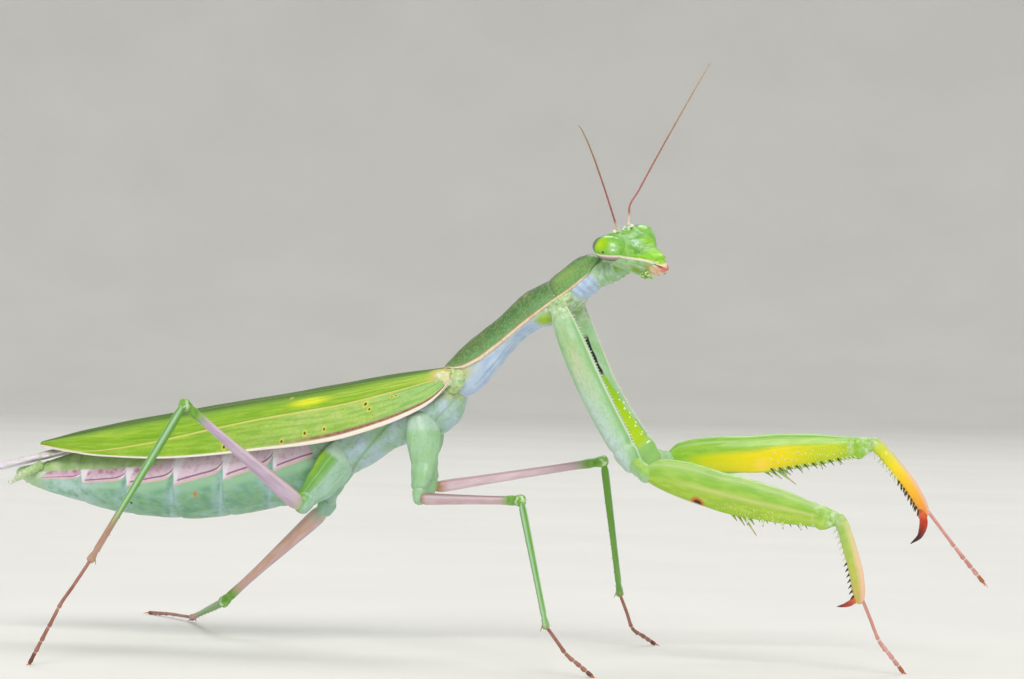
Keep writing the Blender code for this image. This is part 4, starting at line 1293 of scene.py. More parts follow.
# The palps of one side: how thick each is, then its root, its bend and its tip.
PALPS = (
    (0.17, (4.4, 0.5, -0.9), (4.3, 1.0, -1.25), (5.0, 0.9, -1.4)),
    (0.14, (3.2, 0.5, -1.7), (3.8, 0.85, -1.9), (4.5, 0.6, -1.7)),
    (0.13, (4.0, 0.6, -1.3), (3.7, 1.05, -1.6), (4.3, 1.0, -1.65)),
)


def make_mouth():
    """The upper lip, the mandibles behind it, and the jointed palps below."""
    widths = smooth((3.9, 0.7), (4.6, 0.94), (5.3, 0.7), (6.0, 0.26))
    tops = smooth((3.9, 0.3), (4.8, 0.36), (5.4, 0.1), (6.0, -0.2))
    bellies = smooth((3.9, -1.7), (4.8, -1.4), (5.4, -1.05), (6.0, -0.5))
    places = spread(3.9, 6.0, 80)
    rings = [girdle(on_head(s, 0, 0), HEAD, widths(s), tops(s), -0.3, bellies(s), 96) for s in places]
    mesh = shell(rings, places, 0.05)

    def relief(down, across, out):
        slit = out + 0.05 + 0.16 * (down - 5)
        gap = 0.14 * bell(slit, 0.06) * ease(down, 4.6, 4.9)
        jaws = 0.1 * bell(across, 0.08) * (out < -0.2)
        plates = 0.05 * math.sin(down * 5 + out * 3) * (out < -0.3)
        return plates - gap - jaws + 0.05 * ease(slit, 0.02, 0.2)

    carve(mesh, HEAD_MIDDLE, HEAD, relief)
    add_piece("mouth_wedge", mesh, [mouth_finish()], ["mouthparts"], HEAD_MIDDLE, HEAD)
    mesh = begin()
    for side in SIDES.values():
        for thick, *path in PALPS:
            path = [on_head(down, side * across, out) for down, across, out in path]
            limb(mesh, bent(path, 40), smooth((0, thick), (0.5, thick * 1.15), (1, thick * 0.9)), sides=16,
                 relief=lambda s, _: -0.06 * bell((s / PALP_JOINT) % 1 - 0.5, 0.12))
    add_piece("palps", mesh, [palp_finish()], (), HEAD_MIDDLE, HEAD)


# ---- Legs ----
# Each leg is a chain: (length, azimuth, elevation) for coxa, trochanter, femur and tibia, then the
# long first joint of the tarsus, and the last joints, which run to the floor where they stand on it.

LEGS = {
    ("fore", "right"): ((16.9, 7.5, -63.5), (2.7, -47.5, -20.5), (20.3, -11.5, -10.5),
                        (8.4, 59, -66.5), (4.5, 35, -61), (4.2, 46.5, None)),
    ("fore", "left"): ((16.9, 37, -60.5), (2.7, 65, -9), (20.4, 13, 5.5),
                       (8.5, 6, -51), (4.9, 8.5, -48), (4.2, 26, -49)),
    ("mid", "right"): ((5.8, -65, -78), (1.3, -55, -80), (18.4, -42, 2),
                       (13.9, -57, -54.5), (3.4, 40, -51), (3.1, 5, None)),
    ("mid", "left"): ((4.9, 94, -83.5), (1.3, 144.5, -77), (18.4, 29.5, 9),
                      (13.9, 58.5, -79), (4.2, 59.5, -61), (3.6, 59, None)),
    ("hind", "right"): ((4.8, -154, -54.5), (1.4, -136.5, -51.5), (18.2, -122, 34),
                        (19.2, -114, -50), (6.2, -115, -47.5), (5.9, 168.5, None)),
    ("hind", "left"): ((5.1, 168.5, -60), (1.3, 175, -63.5), (18.2, 151.5, -34.5),
                       (18.3, 120, -9.3), (6.8, 130, -1), (5.6, 135, None)),
}
COXA_SAG = {"left": 1.2, "right": 0.45}  # how far the fore coxae bow down
TIBIA_BOW = 0.5
FEMUR_CROWN = smooth((0, 0.2), (0.06, 0.7), (0.2, 0.5), (0.45, -0.1), (0.7, -0.12), (0.94, -0.2), (1, 0.0))
CLAW_REACH = {"left": 1.9, "right": 0.9}
# How far the coxae of the walking legs bulge forward.
COXA_BOW = {"mid_right": 0.4, "mid_left": -0.5, "hind_right": 0.6, "hind_left": -0.5}
COXA_LENGTH, FEMUR_LENGTH, TIBIA_LENGTH = 16.9, 20.35, 8.45  # of the fore legs
FEMUR_GIRTH = 9.0  # millimetres round a fore femur, which turns shares into lengths
# Half the depth of each segment along it, and its width over its depth.
SHAPES = {
    "fore": {
        "coxa": (smooth((0, 0.8), (0.12, 1.15), (0.3, 1.34), (0.55, 1.36), (0.85, 1.26), (1, 1.0)), 0.7),
        "trochanter": (smooth((0, 0.5), (0.4, 0.9), (1, 0.85)), 0.8),
        "femur": (smooth((0, 0.6), (0.06, 1.0), (0.15, 1.38), (0.3, 1.75), (0.48, 1.97), (0.7, 1.7),
                         (0.86, 1.27), (0.93, 1.14), (0.97, 0.86), (1, 0.6)), 0.55),
        "tibia": (smooth((0, 0.64), (0.12, 0.66), (0.6, 0.72), (0.85, 0.66), (1, 0.48)), 0.75),
        "tarsus": (smooth((0, 0.26), (0.5, 0.27), (0.56, 0.32), (0.9, 0.3), (1, 0.27)), 1.0),
    },
    "mid": {
        "coxa": (smooth((0, 1.1), (0.25, 1.2), (0.7, 0.85), (1, 0.66)), 1.45),
        "trochanter": (smooth((0, 0.6), (0.4, 0.84), (1, 0.7)), 0.8),
        "femur": (smooth((0, 0.35), (0.08, 0.6), (0.3, 0.52), (0.8, 0.42), (0.95, 0.52), (1, 0.55)), 0.8),
        "tibia": (smooth((0, 0.28), (0.1, 0.38), (0.8, 0.3), (1, 0.33)), 0.9),
        "tarsus": (smooth((0, 0.26), (0.5, 0.28), (0.9, 0.3), (1, 0.27)), 1.0),
    },
    "hind": {
        "coxa": (smooth((0, 1.7), (0.3, 1.95), (0.7, 1.62), (1, 1.1)), 0.5),
        "trochanter": (smooth((0, 0.7), (0.4, 0.98), (1, 0.8)), 0.8),
        "femur": (smooth((0, 0.6), (0.08, 0.88), (0.3, 0.74), (0.8, 0.45), (0.95, 0.52), (1, 0.56)), 0.8),
        "tibia": (smooth((0, 0.3), (0.1, 0.42), (0.8, 0.28), (1, 0.32)), 0.9),
        "tarsus": (smooth((0, 0.26), (0.5, 0.27), (0.9, 0.3), (1, 0.27)), 1.0),
    },
}
# On a leg an angle of 0 faces away from the body, 90 is its upper or front edge, and 180 faces inward.
# In the UV map v is 0 at the lower edge, 0.25 outward, 0.5 at the upper edge and 0.75 inward.


def hip_of(pair, side):
    if pair == "fore":
        along, across, above = FORE_HIP
        return on_prothorax(along, side * across, above)
    along, across, height = MID_HIP if pair == "mid" else HIND_HIP
    return trunk_point(along, side * across, height)


def joints_of(pair, side, chain):
    """The hip, the joints along the leg, and the tip of its foot."""
    points = [hip_of(pair, side)]
    for length, azimuth, elevation in chain:
        if elevation is None:
            drop = (FOOT_HEIGHT - points[-1].z) / length
            elevation = math.degrees(math.asin(max(drop, -1)))
        points.append(points[-1] + heading(azimuth, elevation) * length)
    return points


def facing_femur(joints):
    """The way, square to the fore tibia, that its spined edge faces."""
    along = (joints[4] - joints[3]).normalized()
    femur = joints[3] - joints[2]
    return (along * femur.dot(along) - femur).normalized()


def facing_out(start, end, side):
    """1 if the left of a limb from start to end faces away from the body, and -1 if its right does."""
    return math.copysign(1, UP.cross(end - start).y) * side


def segment_path(start, end, bow, count):
    return [on_bow(start, end, bow, t) for t in spread(0.0, 1.0, count)]


def around(degrees, at, width):
    """A bell over the angle round a limb."""
    return bell((degrees - at + 180) % 360 - 180, width)


def round_limb(frame, degrees, radius, flatness=1.0):
    """The way from the middle line of a limb to its skin at that angle."""
    angle = math.radians(degrees)
    return (frame[1] * math.cos(angle) * flatness + frame[2] * math.sin(angle)) * radius


def spine_finish(name, root, middle, tip):
    """Glassy, with its colours running from root to tip."""
    f = Finish(name, 0.3, coat=0.3)
    return f.done(f.shades(f.u, 0.1, 0.95, root, root, middle, tip), f.noise(0.1), 0.02)


def fore_coxa_finish():
    """Mint with a tan bloom outside. Inside, a black patch lies above a yellow-green stripe."""
    f = Finish("fore coxa", 0.42, coat=0.2)
    t = f.math("DIVIDE", f.u, COXA_LENGTH)
    edge = f.noise(0.9, 2)
    front_edge = f.curve(t, (0.0, 0.74), (0.3, 0.725), (0.6, 0.66), (1.0, 0.61))
    inward = f.both(f.step(f.v, f.math("MULTIPLY_ADD", edge, 0.03, front_edge), 0.008),
                    f.under(f.v, 0.9, 0.02))
    rims = f.most(*(f.band(f.v, at, 0.013, 0.012) for at in (0.0, 0.403, 0.597, 1.0)))
    fine = f.noise(0.22, 4, (2, 1, 1))
    colour = f.layers(
        f.cloud(1.1, (154, 198, 140), (168, 208, 160), (180, 214, 180), stretch=(2.5, 1, 1)),
        (f.both(f.band(t, 0.36, 0.2, 0.2), f.band(f.v, 0.2, 0.09, 0.1)),
         f.cloud(0.8, (184, 204, 148), (206, 198, 158), stretch=(3, 1, 1)), 0.6),
        (f.band(f.v, 0.37, 0.02, 0.03), (132, 190, 120)),
        (f.both(f.step(t, 0.55, 0.3), f.band(f.v, 0.14, 0.1, 0.08)), (194, 216, 212)),
        (f.under(t, 0.08, 0.05), f.cloud(0.5, (164, 204, 140), (212, 226, 204))),
        (f.step(fine, 0.54, 0.1), (136, 186, 120), 0.3),
        (f.both(inward, f.band(t, 0.295, 0.125, 0.02)), f.cloud(0.5, (10, 26, 22), (22, 48, 38))),
        (f.both(inward, f.band(t, 0.675, 0.255, 0.03)),
         f.shades(t, 0.42, 0.93, (140, 196, 10), (172, 212, 12), (190, 222, 34))),
        (f.both(f.step(t, 0.9, 0.03), f.step(f.v, 0.56, 0.02)), (150, 202, 112)),
        (rims, (216, 228, 202)),
    )
    return f.done(colour, fine, 0.05)


def make_fore_coxa(side, label, joints, finishes):
    """A three-edged coxa with a row of small teeth along each edge of its front face."""
    start, end = joints[:2]
    frame_here = segment_frame(start, end, side=side)
    bow = frame_here[2] * -COXA_SAG[label]
    radii, flatness = SHAPES["fore"]["coxa"]
    length = (end - start).length
    mesh = begin()

    def relief(s, degrees):
        ridges = sum(around(degrees, at, 9) for at in (55, 125, -90))
        hollow = around(degrees, 90, 24) + 0.5 * around(degrees, 0, 30) * (1 - ease(s, 10, 14))
        knee = 0.1 * bell(s - length + 0.9, 0.5) - 0.12 * bell(s - length + 1.9, 0.3)
        return 0.12 * ridges - 0.1 * hollow + knee

    limb(mesh, segment_path(start, end, bow, 110), radii, flatness, sides=72, relief=relief, side=side)
    for at in (55, 125):
        for i, t in enumerate(spread(0.08, 0.9, 44)):
            root = on_bow(start, end, bow, t) + round_limb(frame_here, at, radii(t) + 0.08, flatness)
            size = 0.26 if i % 4 == 0 else 0.15
            thorn(mesh, root, round_limb(frame_here, (at * 2 + 90) / 3, 1), size, 0.075, finish=1)
    for row, at in enumerate((147, 160)):
        for i, t in enumerate(spread(0.55 + 0.04 * row, 0.9, 6)):
            centre = on_bow(start, end, bow, t) + round_limb(frame_here, at, radii(t), flatness)
            bead(mesh, centre, 0.13 if i % 2 else 0.09, finish=2)
    add_piece("coxa_shell_fore_" + label, mesh, finishes,
              ["coxa_fore_" + label], start, frame_here)


def fold_finish():
    """Crumpled whitish skin with yellow in its hollows."""
    f = Finish("fold", 0.5)
    crumple = f.noise(0.45, 4)
    colour = f.layers(
        f.shades(crumple, 0.32, 0.68, (140, 184, 104), (182, 210, 160), (212, 226, 212)),
        (f.step(f.noise(0.6), 0.57, 0.08), (200, 200, 84), 0.7),
    )
    return f.done(colour, crumple, 0.09)


def fore_femur_finish():
    """Mint above and leaf green below, with one dark spot outside. Inside runs a yellow stripe."""
    f = Finish("fore femur", 0.38, coat=0.25)
    t = f.math("DIVIDE", f.u, FEMUR_LENGTH)
    sheet = f.sheet(FEMUR_GIRTH)
    streak = f.noise(0.4, 3, (5, 1, 1))
    fine = f.noise(0.2, 4)
    inward = f.band(f.v, f.math("MULTIPLY_ADD", f.step(t, 0.5, 0.1), -0.03, 0.82), 0.1, 0.03)
    before_knee = f.under(t, 0.9, 0.02)
    colour = f.layers(
        f.shades(f.v, 0.0, 0.5, (142, 192, 30), (158, 202, 46), (178, 208, 70), (158, 198, 62),
                 (152, 200, 84), (176, 208, 124), (136, 188, 70)),
        (f.both(f.step(f.v, 0.5, 0.02), f.under(f.v, 0.62, 0.02)), (132, 188, 66)),
        (f.step(f.v, 0.62, 0.03), (146, 196, 44)),
        (f.step(streak, 0.54, 0.1), (120, 178, 50), 0.35),
        (f.under(streak, 0.42, 0.1), (178, 212, 104), 0.35),
        (f.both(f.band(f.v, 0.245, 0.01, 0.035), f.step(t, 0.2, 0.15), before_knee), (208, 212, 134)),
        # Painted highlight: a pale line along the upper rib.
        (f.both(f.band(f.v, 0.38, 0.008, 0.02), before_knee), (204, 220, 164), 0.6),
        (f.both(f.band(f.v, 0.61, 0.012, 0.02), before_knee), (190, 212, 130), 0.6),
        (f.both(f.most(f.step(f.v, 0.972, 0.012), f.under(f.v, 0.028, 0.012)), f.under(t, 0.45, 0.1)),
         (228, 226, 180)),
        (f.both(inward, f.band(t, 0.5, 0.37, 0.07)),
         f.shades(f.u, 4, 15, (206, 214, 22), (236, 222, 14), (242, 222, 20), (198, 214, 30))),
        (f.spot((9.3, 0.85 * FEMUR_GIRTH, 0), 0.5, 0.5, (0.8, 1, 1), sheet), (255, 222, 74)),
        (f.spot((6.1, 0.09 * FEMUR_GIRTH, 0), 0.62, 0.2, (0.85, 1, 1), sheet), (206, 108, 46)),
        (f.spot((6.1, 0.09 * FEMUR_GIRTH, 0), 0.36, 0.1, (0.85, 1, 1), sheet), (58, 18, 8)),
        (f.both(f.band(t, 0.895, 0.01, 0.014), f.step(f.noise(0.5), 0.5, 0.1)), (200, 222, 190), 0.7),
        (f.step(t, 0.95, 0.03), f.cloud(0.5, (140, 192, 74), (166, 206, 116), (202, 222, 180))),
        (f.both(f.band(f.v, 0.03, 0.035, 0.02), f.under(t, 0.5, 0.08)), (230, 224, 180)),
        (f.both(f.step(f.noise(0.16, 2), 0.62, 0.04), f.band(f.v, 0.13, 0.06, 0.03),
                f.band(t, 0.6, 0.2, 0.1)), (226, 228, 120)),
    )
    height = f.math("MULTIPLY_ADD", fine, 0.6, streak)
    return f.done(colour, height, 0.045)


def make_fore_femur(side, label, joints, finishes):
    """The thick grasping femur: two rows of spines below, and long ones near the middle."""
    start, end = joints[2:4]
    frame_here = segment_frame(start, end, side=side)
    along, outward, up = frame_here
    length = (end - start).length
    radii, flatness = SHAPES["fore"]["femur"]
    mesh = begin()

    def relief(s, degrees):
        t = s / length
        armed = ease(t, 0.3, 0.4) * (1 - ease(t, 0.95, 1))
        furrow = 0.22 * around(degrees, -90, 16) * armed
        brim = 0.12 * (around(degrees, -62, 9) + around(degrees, -118, 9)) * armed
        rib = 0.05 * (around(degrees, 47, 5) + around(degrees, 133, 5)) * ease(t, 0.1, 0.2)
        knee = 0.05 * bell(s - length + 0.5, 0.4) - 0.08 * bell(s - length + 1.9, 0.3)
        lobes = 0.26 * (around(degrees, -50, 30) + around(degrees, -130, 30)) * bell(t - 0.935, 0.03)
        return brim - furrow + rib + knee + lobes + 0.04 * around(degrees, 90, 8)

    limb(mesh, segment_path(start, end, Vector(), 150), radii, flatness, sides=96, crown=FEMUR_CROWN,
         relief=relief, side=side)

    def armed_point(t, degrees):
        return start + along * t * length + round_limb(frame_here, degrees, radii(t), flatness)

    for t, size in ((0.56, 1.0), (0.64, 0.9), (0.74, 0.85), (0.83, 0.8)):
        way = along * 0.45 - up + outward * 0.25
        thorn(mesh, armed_point(t, -66) + up * 0.15, way, size, 0.2, along * -0.1, finish=1, sides=12)
    for i, t in enumerate(spread(0.5, 0.93, 22)):
        dark = i % 2 == 0 and i < 17
        way = along * 0.85 - up - outward * 0.55
        thorn(mesh, armed_point(t, -128), way, 0.9 if dark else 0.5, 0.09 if dark else 0.12,
              along * -0.1, finish=2 if dark else 1, sides=10)
    for t, size in ((0.47, 1.0), (0.5, 1.4), (0.53, 2.5), (0.56, 1.0)):
        thorn(mesh, armed_point(t, -95) + up * 0.2, along * 1.1 - up, size, 0.17, finish=3, sides=12)
    for i, t in enumerate(spread(0.5, 0.88, 34)):
        at = 196 + 13 * math.sin(i * 2.4) + 6 * math.sin(i * 5.1)
        centre = start + along * t * length + round_limb(frame_here, at, radii(t), flatness)
        bead(mesh, centre, 0.05 + 0.03 * (i % 3 == 0), finish=4, detail=1)
    add_piece("femur_shell_fore_" + label, mesh, finishes,
              ["femur_fore_" + label], start, frame_here)


def fore_tibia_finish():
    """Green outside with a peach back edge. Inside it turns from yellow to orange towards the claw."""
    f = Finish("fore tibia", 0.36, coat=0.25)
    t = f.math("DIVIDE", f.u, TIBIA_LENGTH)
    fine = f.noise(0.2, 4, (3, 1, 1))
    inward = f.band(f.v, 0.77, 0.2, 0.04)
    colour = f.layers(
        f.shades(t, 0.0, 1.0, (168, 208, 108), (184, 210, 92), (204, 206, 92), (220, 184, 98)),
        (f.step(fine, 0.55, 0.1), (150, 192, 76), 0.3),
        (inward, f.shades(t, 0.05, 1.0, (200, 220, 60), (244, 222, 34), (250, 190, 44), (240, 150, 60))),
        (f.band(f.v, 0.5, 0.14, 0.08),
         f.shades(t, 0.1, 1.0, (214, 214, 140), (246, 206, 168), (246, 198, 176))),
        (f.under(t, 0.03, 0.06), f.cloud(0.4, (150, 196, 84), (196, 216, 160))),
    )
    return f.done(colour, fine, 0.05)


def claw_finish():
    """Hard and glossy: orange brown at its root, then dark red, then black at the point."""
    f = Finish("claw", 0.18, coat=0.7)
    colour = f.layers(
        f.shades(f.u, 0.2, 3.6, (224, 110, 58), (206, 58, 26), (160, 26, 14), (64, 14, 12), (14, 8, 8)),
        (f.step(f.noise(0.4, 3), 0.55, 0.1), (90, 40, 26), 0.4),
    )
    return f.done(colour, f.noise(0.3, 3, (4, 1, 1)), 0.03)


def make_fore_tibia(side, label, joints, finishes, claw):
    """The toothed tibia, which closes against the femur, with its hooked claw."""
    start, end = joints[3:5]
    inner = facing_femur(joints)
    bow = inner * -TIBIA_BOW
    frame_here = segment_frame(start, end, up=-inner, side=side)
    along, outward, _ = frame_here
    radii, flatness = SHAPES["fore"]["tibia"]
    mesh = begin()

    def relief(s, degrees):
        return 0.03 * bell(s - 0.6, 0.5) - 0.05 * bell(s - 1.3, 0.25) + 0.05 * around(degrees, 90, 12)

    path = segment_path(start, end, bow, 90)
    path = [point - inner * 0.25 * (1 - ease(i, 0, 40)) for i, point in enumerate(path)]
    limb(mesh, path, radii, flatness, up=-inner, sides=56, relief=relief, side=side)
    for row, count in ((-1, 17), (1, 13)):
        for t in spread(0.12, 0.94, count):
            root = on_bow(start, end, bow, t) + outward * row * 0.26 + inner * radii(t) * 0.85
            way = inner + along * 0.7 + outward * row * 0.15
            thorn(mesh, root, way, 0.36 + 0.22 * t, 0.12, along * 0.08, finish=2 if t > 0.5 else 1, sides=10)
    add_piece("tibia_shell_fore_" + label, mesh, finishes,
              ["tibia_fore_" + label], start, frame_here)
    straight = (end - start).normalized()
    root = end - straight * 0.4 + inner * 0.1
    reach = CLAW_REACH[label]
    slim = 1.0 if side > 0 else 0.72
    path = bent([root, root + straight * reach * 0.6 + inner * 0.6, root + straight * reach + inner * 1.6,
                 root + straight * (reach + 0.1) + inner * 2.9 * slim ** 0.5], 60)
    mesh = begin()
    thick = smooth((0, 0.42), (0.35, 0.42), (0.8, 0.2), (1, 0.04))
    limb(mesh, path, lambda t: thick(t) * slim, sides=28, up=straight.cross(inner),
         relief=lambda s, _: 0.05 * bell(s - 0.5, 0.3) - 0.03 * bell(s - 0.9, 0.15))
    add_piece("grasping_claw_" + label, mesh, [claw], (), root,
              segment_frame(path[0], path[-1]))


def hip_finish(name, green, pale, tip, rear):
    """A coxa or trochanter: pale and bluish, with a green strip along its rear edge, where v is rear."""
    f = Finish(name, 0.44, coat=0.15)
    streak = f.noise(0.6, 3, (2.5, 1, 1))
    colour = f.layers(
        f.mix(f.math("MULTIPLY", f.step(streak, 0.5, 0.14), 0.3), pale, green),
        (f.band(f.v, rear, 0.17, 0.06), green),
        (f.most(*(f.band(f.v, at, 0.006, 0.01) for at in (0.06, 0.16, 0.27, 0.36))), (206, 228, 204), 0.35),
        (f.both(f.under(f.u, 4.5, 1.5), f.band(f.v, rear, 0.04, 0.04)), tip),
        (f.under(f.along, 0.3, 0.3), (180, 210, 190)),
        (f.step(f.noise(0.25, 4), 0.56, 0.12), (120, 168, 100), 0.2),
    )
    return f.done(colour, streak, 0.07)


def walking_femur_finish(name, length, outward, inward, above, base):
    """Dusky pink, darker above, with a pale painted highlight along it, and painted white glints on the
    green knee's knob.
    """
    f = Finish(name, 0.4, coat=0.2)
    streak = f.noise(0.45, 3, (5, 1, 1))
    knee = f.step(f.u, length - 2.6, 1.1)
    colour = f.layers(
        f.mix(f.band(f.v, 0.75, 0.2, 0.12), outward, inward),
        (f.step(streak, 0.54, 0.14), f.mix(0.5, outward, (150, 108, 108)), 0.3),
        (f.under(streak, 0.44, 0.12), (224, 208, 212), 0.35),
        # Painted highlight: a pale line along the upper outer face.
        (f.band(f.v, 0.32, 0.03, 0.05), (226, 210, 220)),
        (f.band(f.v, 0.5, 0.14, 0.05), f.mix(f.math("MULTIPLY", streak, 0.4), above, outward)),
        (f.under(f.u, 1.4, 0.8), base),
        (knee, f.cloud(0.6, (100, 158, 48), (136, 186, 76))),
        # Painted highlight: whitish glints at the end of the knee.
        (f.both(f.step(f.u, length - 0.4, 0.3), f.step(f.noise(0.4), 0.52, 0.06)), (196, 220, 180)),
    )
    return f.done(colour, streak, 0.05)


def walking_tibia_finish(name, length, turn):
    """Green with a bluish gleam, and dusky pink past the turn, a share of its length."""
    f = Finish(name, 0.38, coat=0.25)
    t = f.math("DIVIDE", f.u, length)
    streak = f.noise(0.4, 3, (6, 1, 1))
    colour = f.layers(
        f.shades(t, 0.05, 0.95, (104, 160, 46), (112, 170, 66), (120, 174, 82)),
        (f.step(streak, 0.54, 0.1), (92, 146, 44), 0.5),
        # Painted highlight: a pale bluish gleam down each side.
        (f.most(f.band(f.v, 0.37, 0.05, 0.07), f.band(f.v, 0.63, 0.05, 0.07)), (172, 208, 176)),
        (f.step(t, turn, 0.1), f.cloud(0.8, (176, 134, 116), (190, 158, 130), stretch=(3, 1, 1))),
        (f.under(f.u, 0.5, 0.25), (150, 196, 100)),
    )
    return f.done(colour, streak, 0.04)


def make_walking_segments(pair, side, label, joints, looks):
    """Coxa, trochanter, femur and tibia of a walking leg, and the trochanter of a fore leg."""
    for i, segment in enumerate(("coxa", "trochanter", "femur", "tibia")):
        if pair == "fore" and segment != "trochanter":
            continue
        start, end = joints[i], joints[i + 1]
        turned = facing_out(start, end, side)
        length = (end - start).length
        radii, flatness = SHAPES[pair][segment]

        def relief(s, degrees, length=length, segment=segment):
            knob = 0.06 * bell(s - length, 0.5) - 0.06 * bell(s - length + 1.0, 0.3)
            if segment in ("femur", "tibia"):
                neck = -0.05 * bell(s - 0.5, 0.25)
                return knob + neck + 0.03 * sum(around(degrees, at, 9) for at in (45, 135, 225, 315))
            seam = 0.05 * around(degrees, 35 + 6 * s, 7)
            return knob + 0.05 * around(degrees, 90, 14) + 0.05 * around(degrees, 0, 14) - seam

        mesh = begin()
        bow = Vector((COXA_BOW.get(f"{pair}_{label}", 0) if segment == "coxa" else 0, 0, 0))
        sunk = Vector((0.1, -side * 0.7, 1.0)) if segment == "coxa" and pair != "fore" else Vector()
        path = segment_path(start + sunk, end, bow, 40 if length < 6 else 110)
        limb(mesh, path, radii, flatness, sides=40, relief=relief, side=turned)
        frame_here = segment_frame(start, end, side=turned)
        if segment == "tibia":
            for row, at in enumerate((-60, -120)):
                for t in spread(0.3 + 0.04 * row, 0.93, 7):
                    root = start.lerp(end, t) + round_limb(frame_here, at, radii(t) * 0.9, flatness)
                    thorn(mesh, root, frame_here[0] + round_limb(frame_here, at, 1.1), 0.24, 0.05, finish=1)
            for turn in (-40, -140):
                root = start.lerp(end, 0.975) + round_limb(frame_here, turn, radii(1) * 0.8, flatness)
                thorn(mesh, root, frame_here[0] + round_limb(frame_here, turn, 0.6), 0.85, 0.09, finish=1)
        add_piece(f"{segment}_shell_{pair}_{label}", mesh, [looks[segment], looks["spur"]],
                  [f"{segment}_{pair}_{label}"], start, frame_here)


TARSUS_ENDS = (0.5, 0.67, 0.8, 0.9, 1.0)  # where the five joints of a foot end, as shares of its length


def foot_finish(name, length, light, dark, node, end):
    """Waxy, with a pale node at each joint and a darker last joint."""
    f = Finish(name, 0.4, coat=0.2)
    t = f.math("DIVIDE", f.u, length)
    nodes = f.most(*(f.band(f.u, place * length, 0.05, 0.06) for place in TARSUS_ENDS[:-1]))
    colour = f.layers(
        f.cloud(0.5, dark, light, stretch=(4, 1, 1)),
        (f.step(t, 0.9, 0.03), end),
        (f.step(f.noise(0.2, 3, (3, 1, 1)), 0.56, 0.08), dark, 0.4),
        (nodes, node),
    )
    return f.done(colour, f.noise(0.15, 3, (3, 1, 1)), 0.03)


def make_tarsus(pair, side, label, joints, claw):
    """A long first joint, four short ones with a pad below each, and two small claws."""
    start, ankle, tip = joints[4:]
    if pair == "fore":
        start = start - facing_femur(joints) * 0.35
    path = bent([start, start.lerp(ankle, 0.5), ankle, ankle.lerp(tip, 0.5), tip], 150)
    length = sum((b - a).length for a, b in zip(path, path[1:]))
    radii = SHAPES[pair]["tarsus"][0]
    slim = 0.62

    def relief(s, degrees):
        t = s / length
        gap = sum(bell((t - end) * length, 0.09) for end in TARSUS_ENDS[:-1])
        flare = sum(bell((t - end) * length + 0.22, 0.16) for end in TARSUS_ENDS)
        lobe = sum(bell((t - end) * length + 0.3, 0.22) for end in TARSUS_ENDS)
        return 0.02 * flare + 0.05 * lobe * around(degrees, -90, 50) - 0.05 * gap

    mesh = begin()
    limb(mesh, path, lambda t: radii(t) * slim, sides=24, relief=relief, floor=0.0, side=side)
    along = (path[-1] - path[-6]).normalized()
    across = UP.cross(along).normalized()
    for turn in (1, -1):
        thorn(mesh, path[-1] + across * turn * 0.08, along + across * turn * 0.7, 0.75, 0.09,
              UP * -0.15, finish=1, sides=10)
    for corner in mesh.verts:
        corner.co.z = max(corner.co.z, 0.0)
    if pair == "fore":
        colours = (226, 168, 158), (196, 132, 126), (236, 216, 210), (176, 104, 66)
    else:
        colours = (176, 124, 108), (146, 92, 78), (198, 158, 140), (112, 66, 54)
    finish = foot_finish(f"foot {pair} {label}", length, *colours)
    add_piece(f"tarsus_joints_{pair}_{label}", mesh, [finish, claw],
              [f"tarsus_{pair}_{label}"], start, segment_frame(start, tip, side=side))


def leg_looks():
    """The finishes of the leg segments, by pair."""
    spur = spine_finish("spur", (186, 150, 120), (150, 96, 70), (80, 46, 36))
    fore_hip = hip_finish("fore trochanter", (152, 200, 104), (176, 212, 178), (172, 206, 90), 0.4)
    mid_hip = hip_finish("middle coxa", (140, 190, 104), (162, 204, 164), (156, 186, 44), -0.08)
    hind_hip = hip_finish("hind coxa", (112, 172, 66), (168, 204, 188), (146, 190, 50), 0.46)
    return {
        "fore": {"trochanter": fore_hip, "spur": spur},
        "mid": {
            "coxa": mid_hip, "trochanter": mid_hip, "spur": spur,
            "femur": walking_femur_finish("middle femur", 18.4, (214, 184, 190), (222, 196, 208),
                                          (154, 104, 112), (182, 132, 106)),
            "tibia": walking_tibia_finish("middle tibia", 13.9, 1.05),
        },
        "hind": {
            "coxa": hind_hip, "trochanter": hind_hip, "spur": spur,
            # The hind femur's warm orange-pink inner face and upper edge are partly its own colour and
            # partly painted light shining through the leg.
            "femur": walking_femur_finish("hind femur", 18.2, (200, 178, 204), (232, 184, 164),
                                          (208, 160, 158), (198, 190, 176)),
            "tibia": walking_tibia_finish("hind tibia", 18.8, 0.76),
        },
    }


# ---- The whole mantis ----

FEELER_WAYS = {"left": ((8, 89), (31, 60), 0.05), "right": ((-96, 44), (-83, 5), 2.5)}
# The folds of skin beside the fore hips and at the waist: their places on the prothorax and their shapes.
FOLDS = (
    ("hip_fold_", "fore_leg_shell", 14.9, 1.65, -1.55, (1.6, 0.85, 0.95)),
    ("waist_fold_", "side_shell", 0.5, 1.45, -0.75, (1.6, 0.85, 1.2)),
)


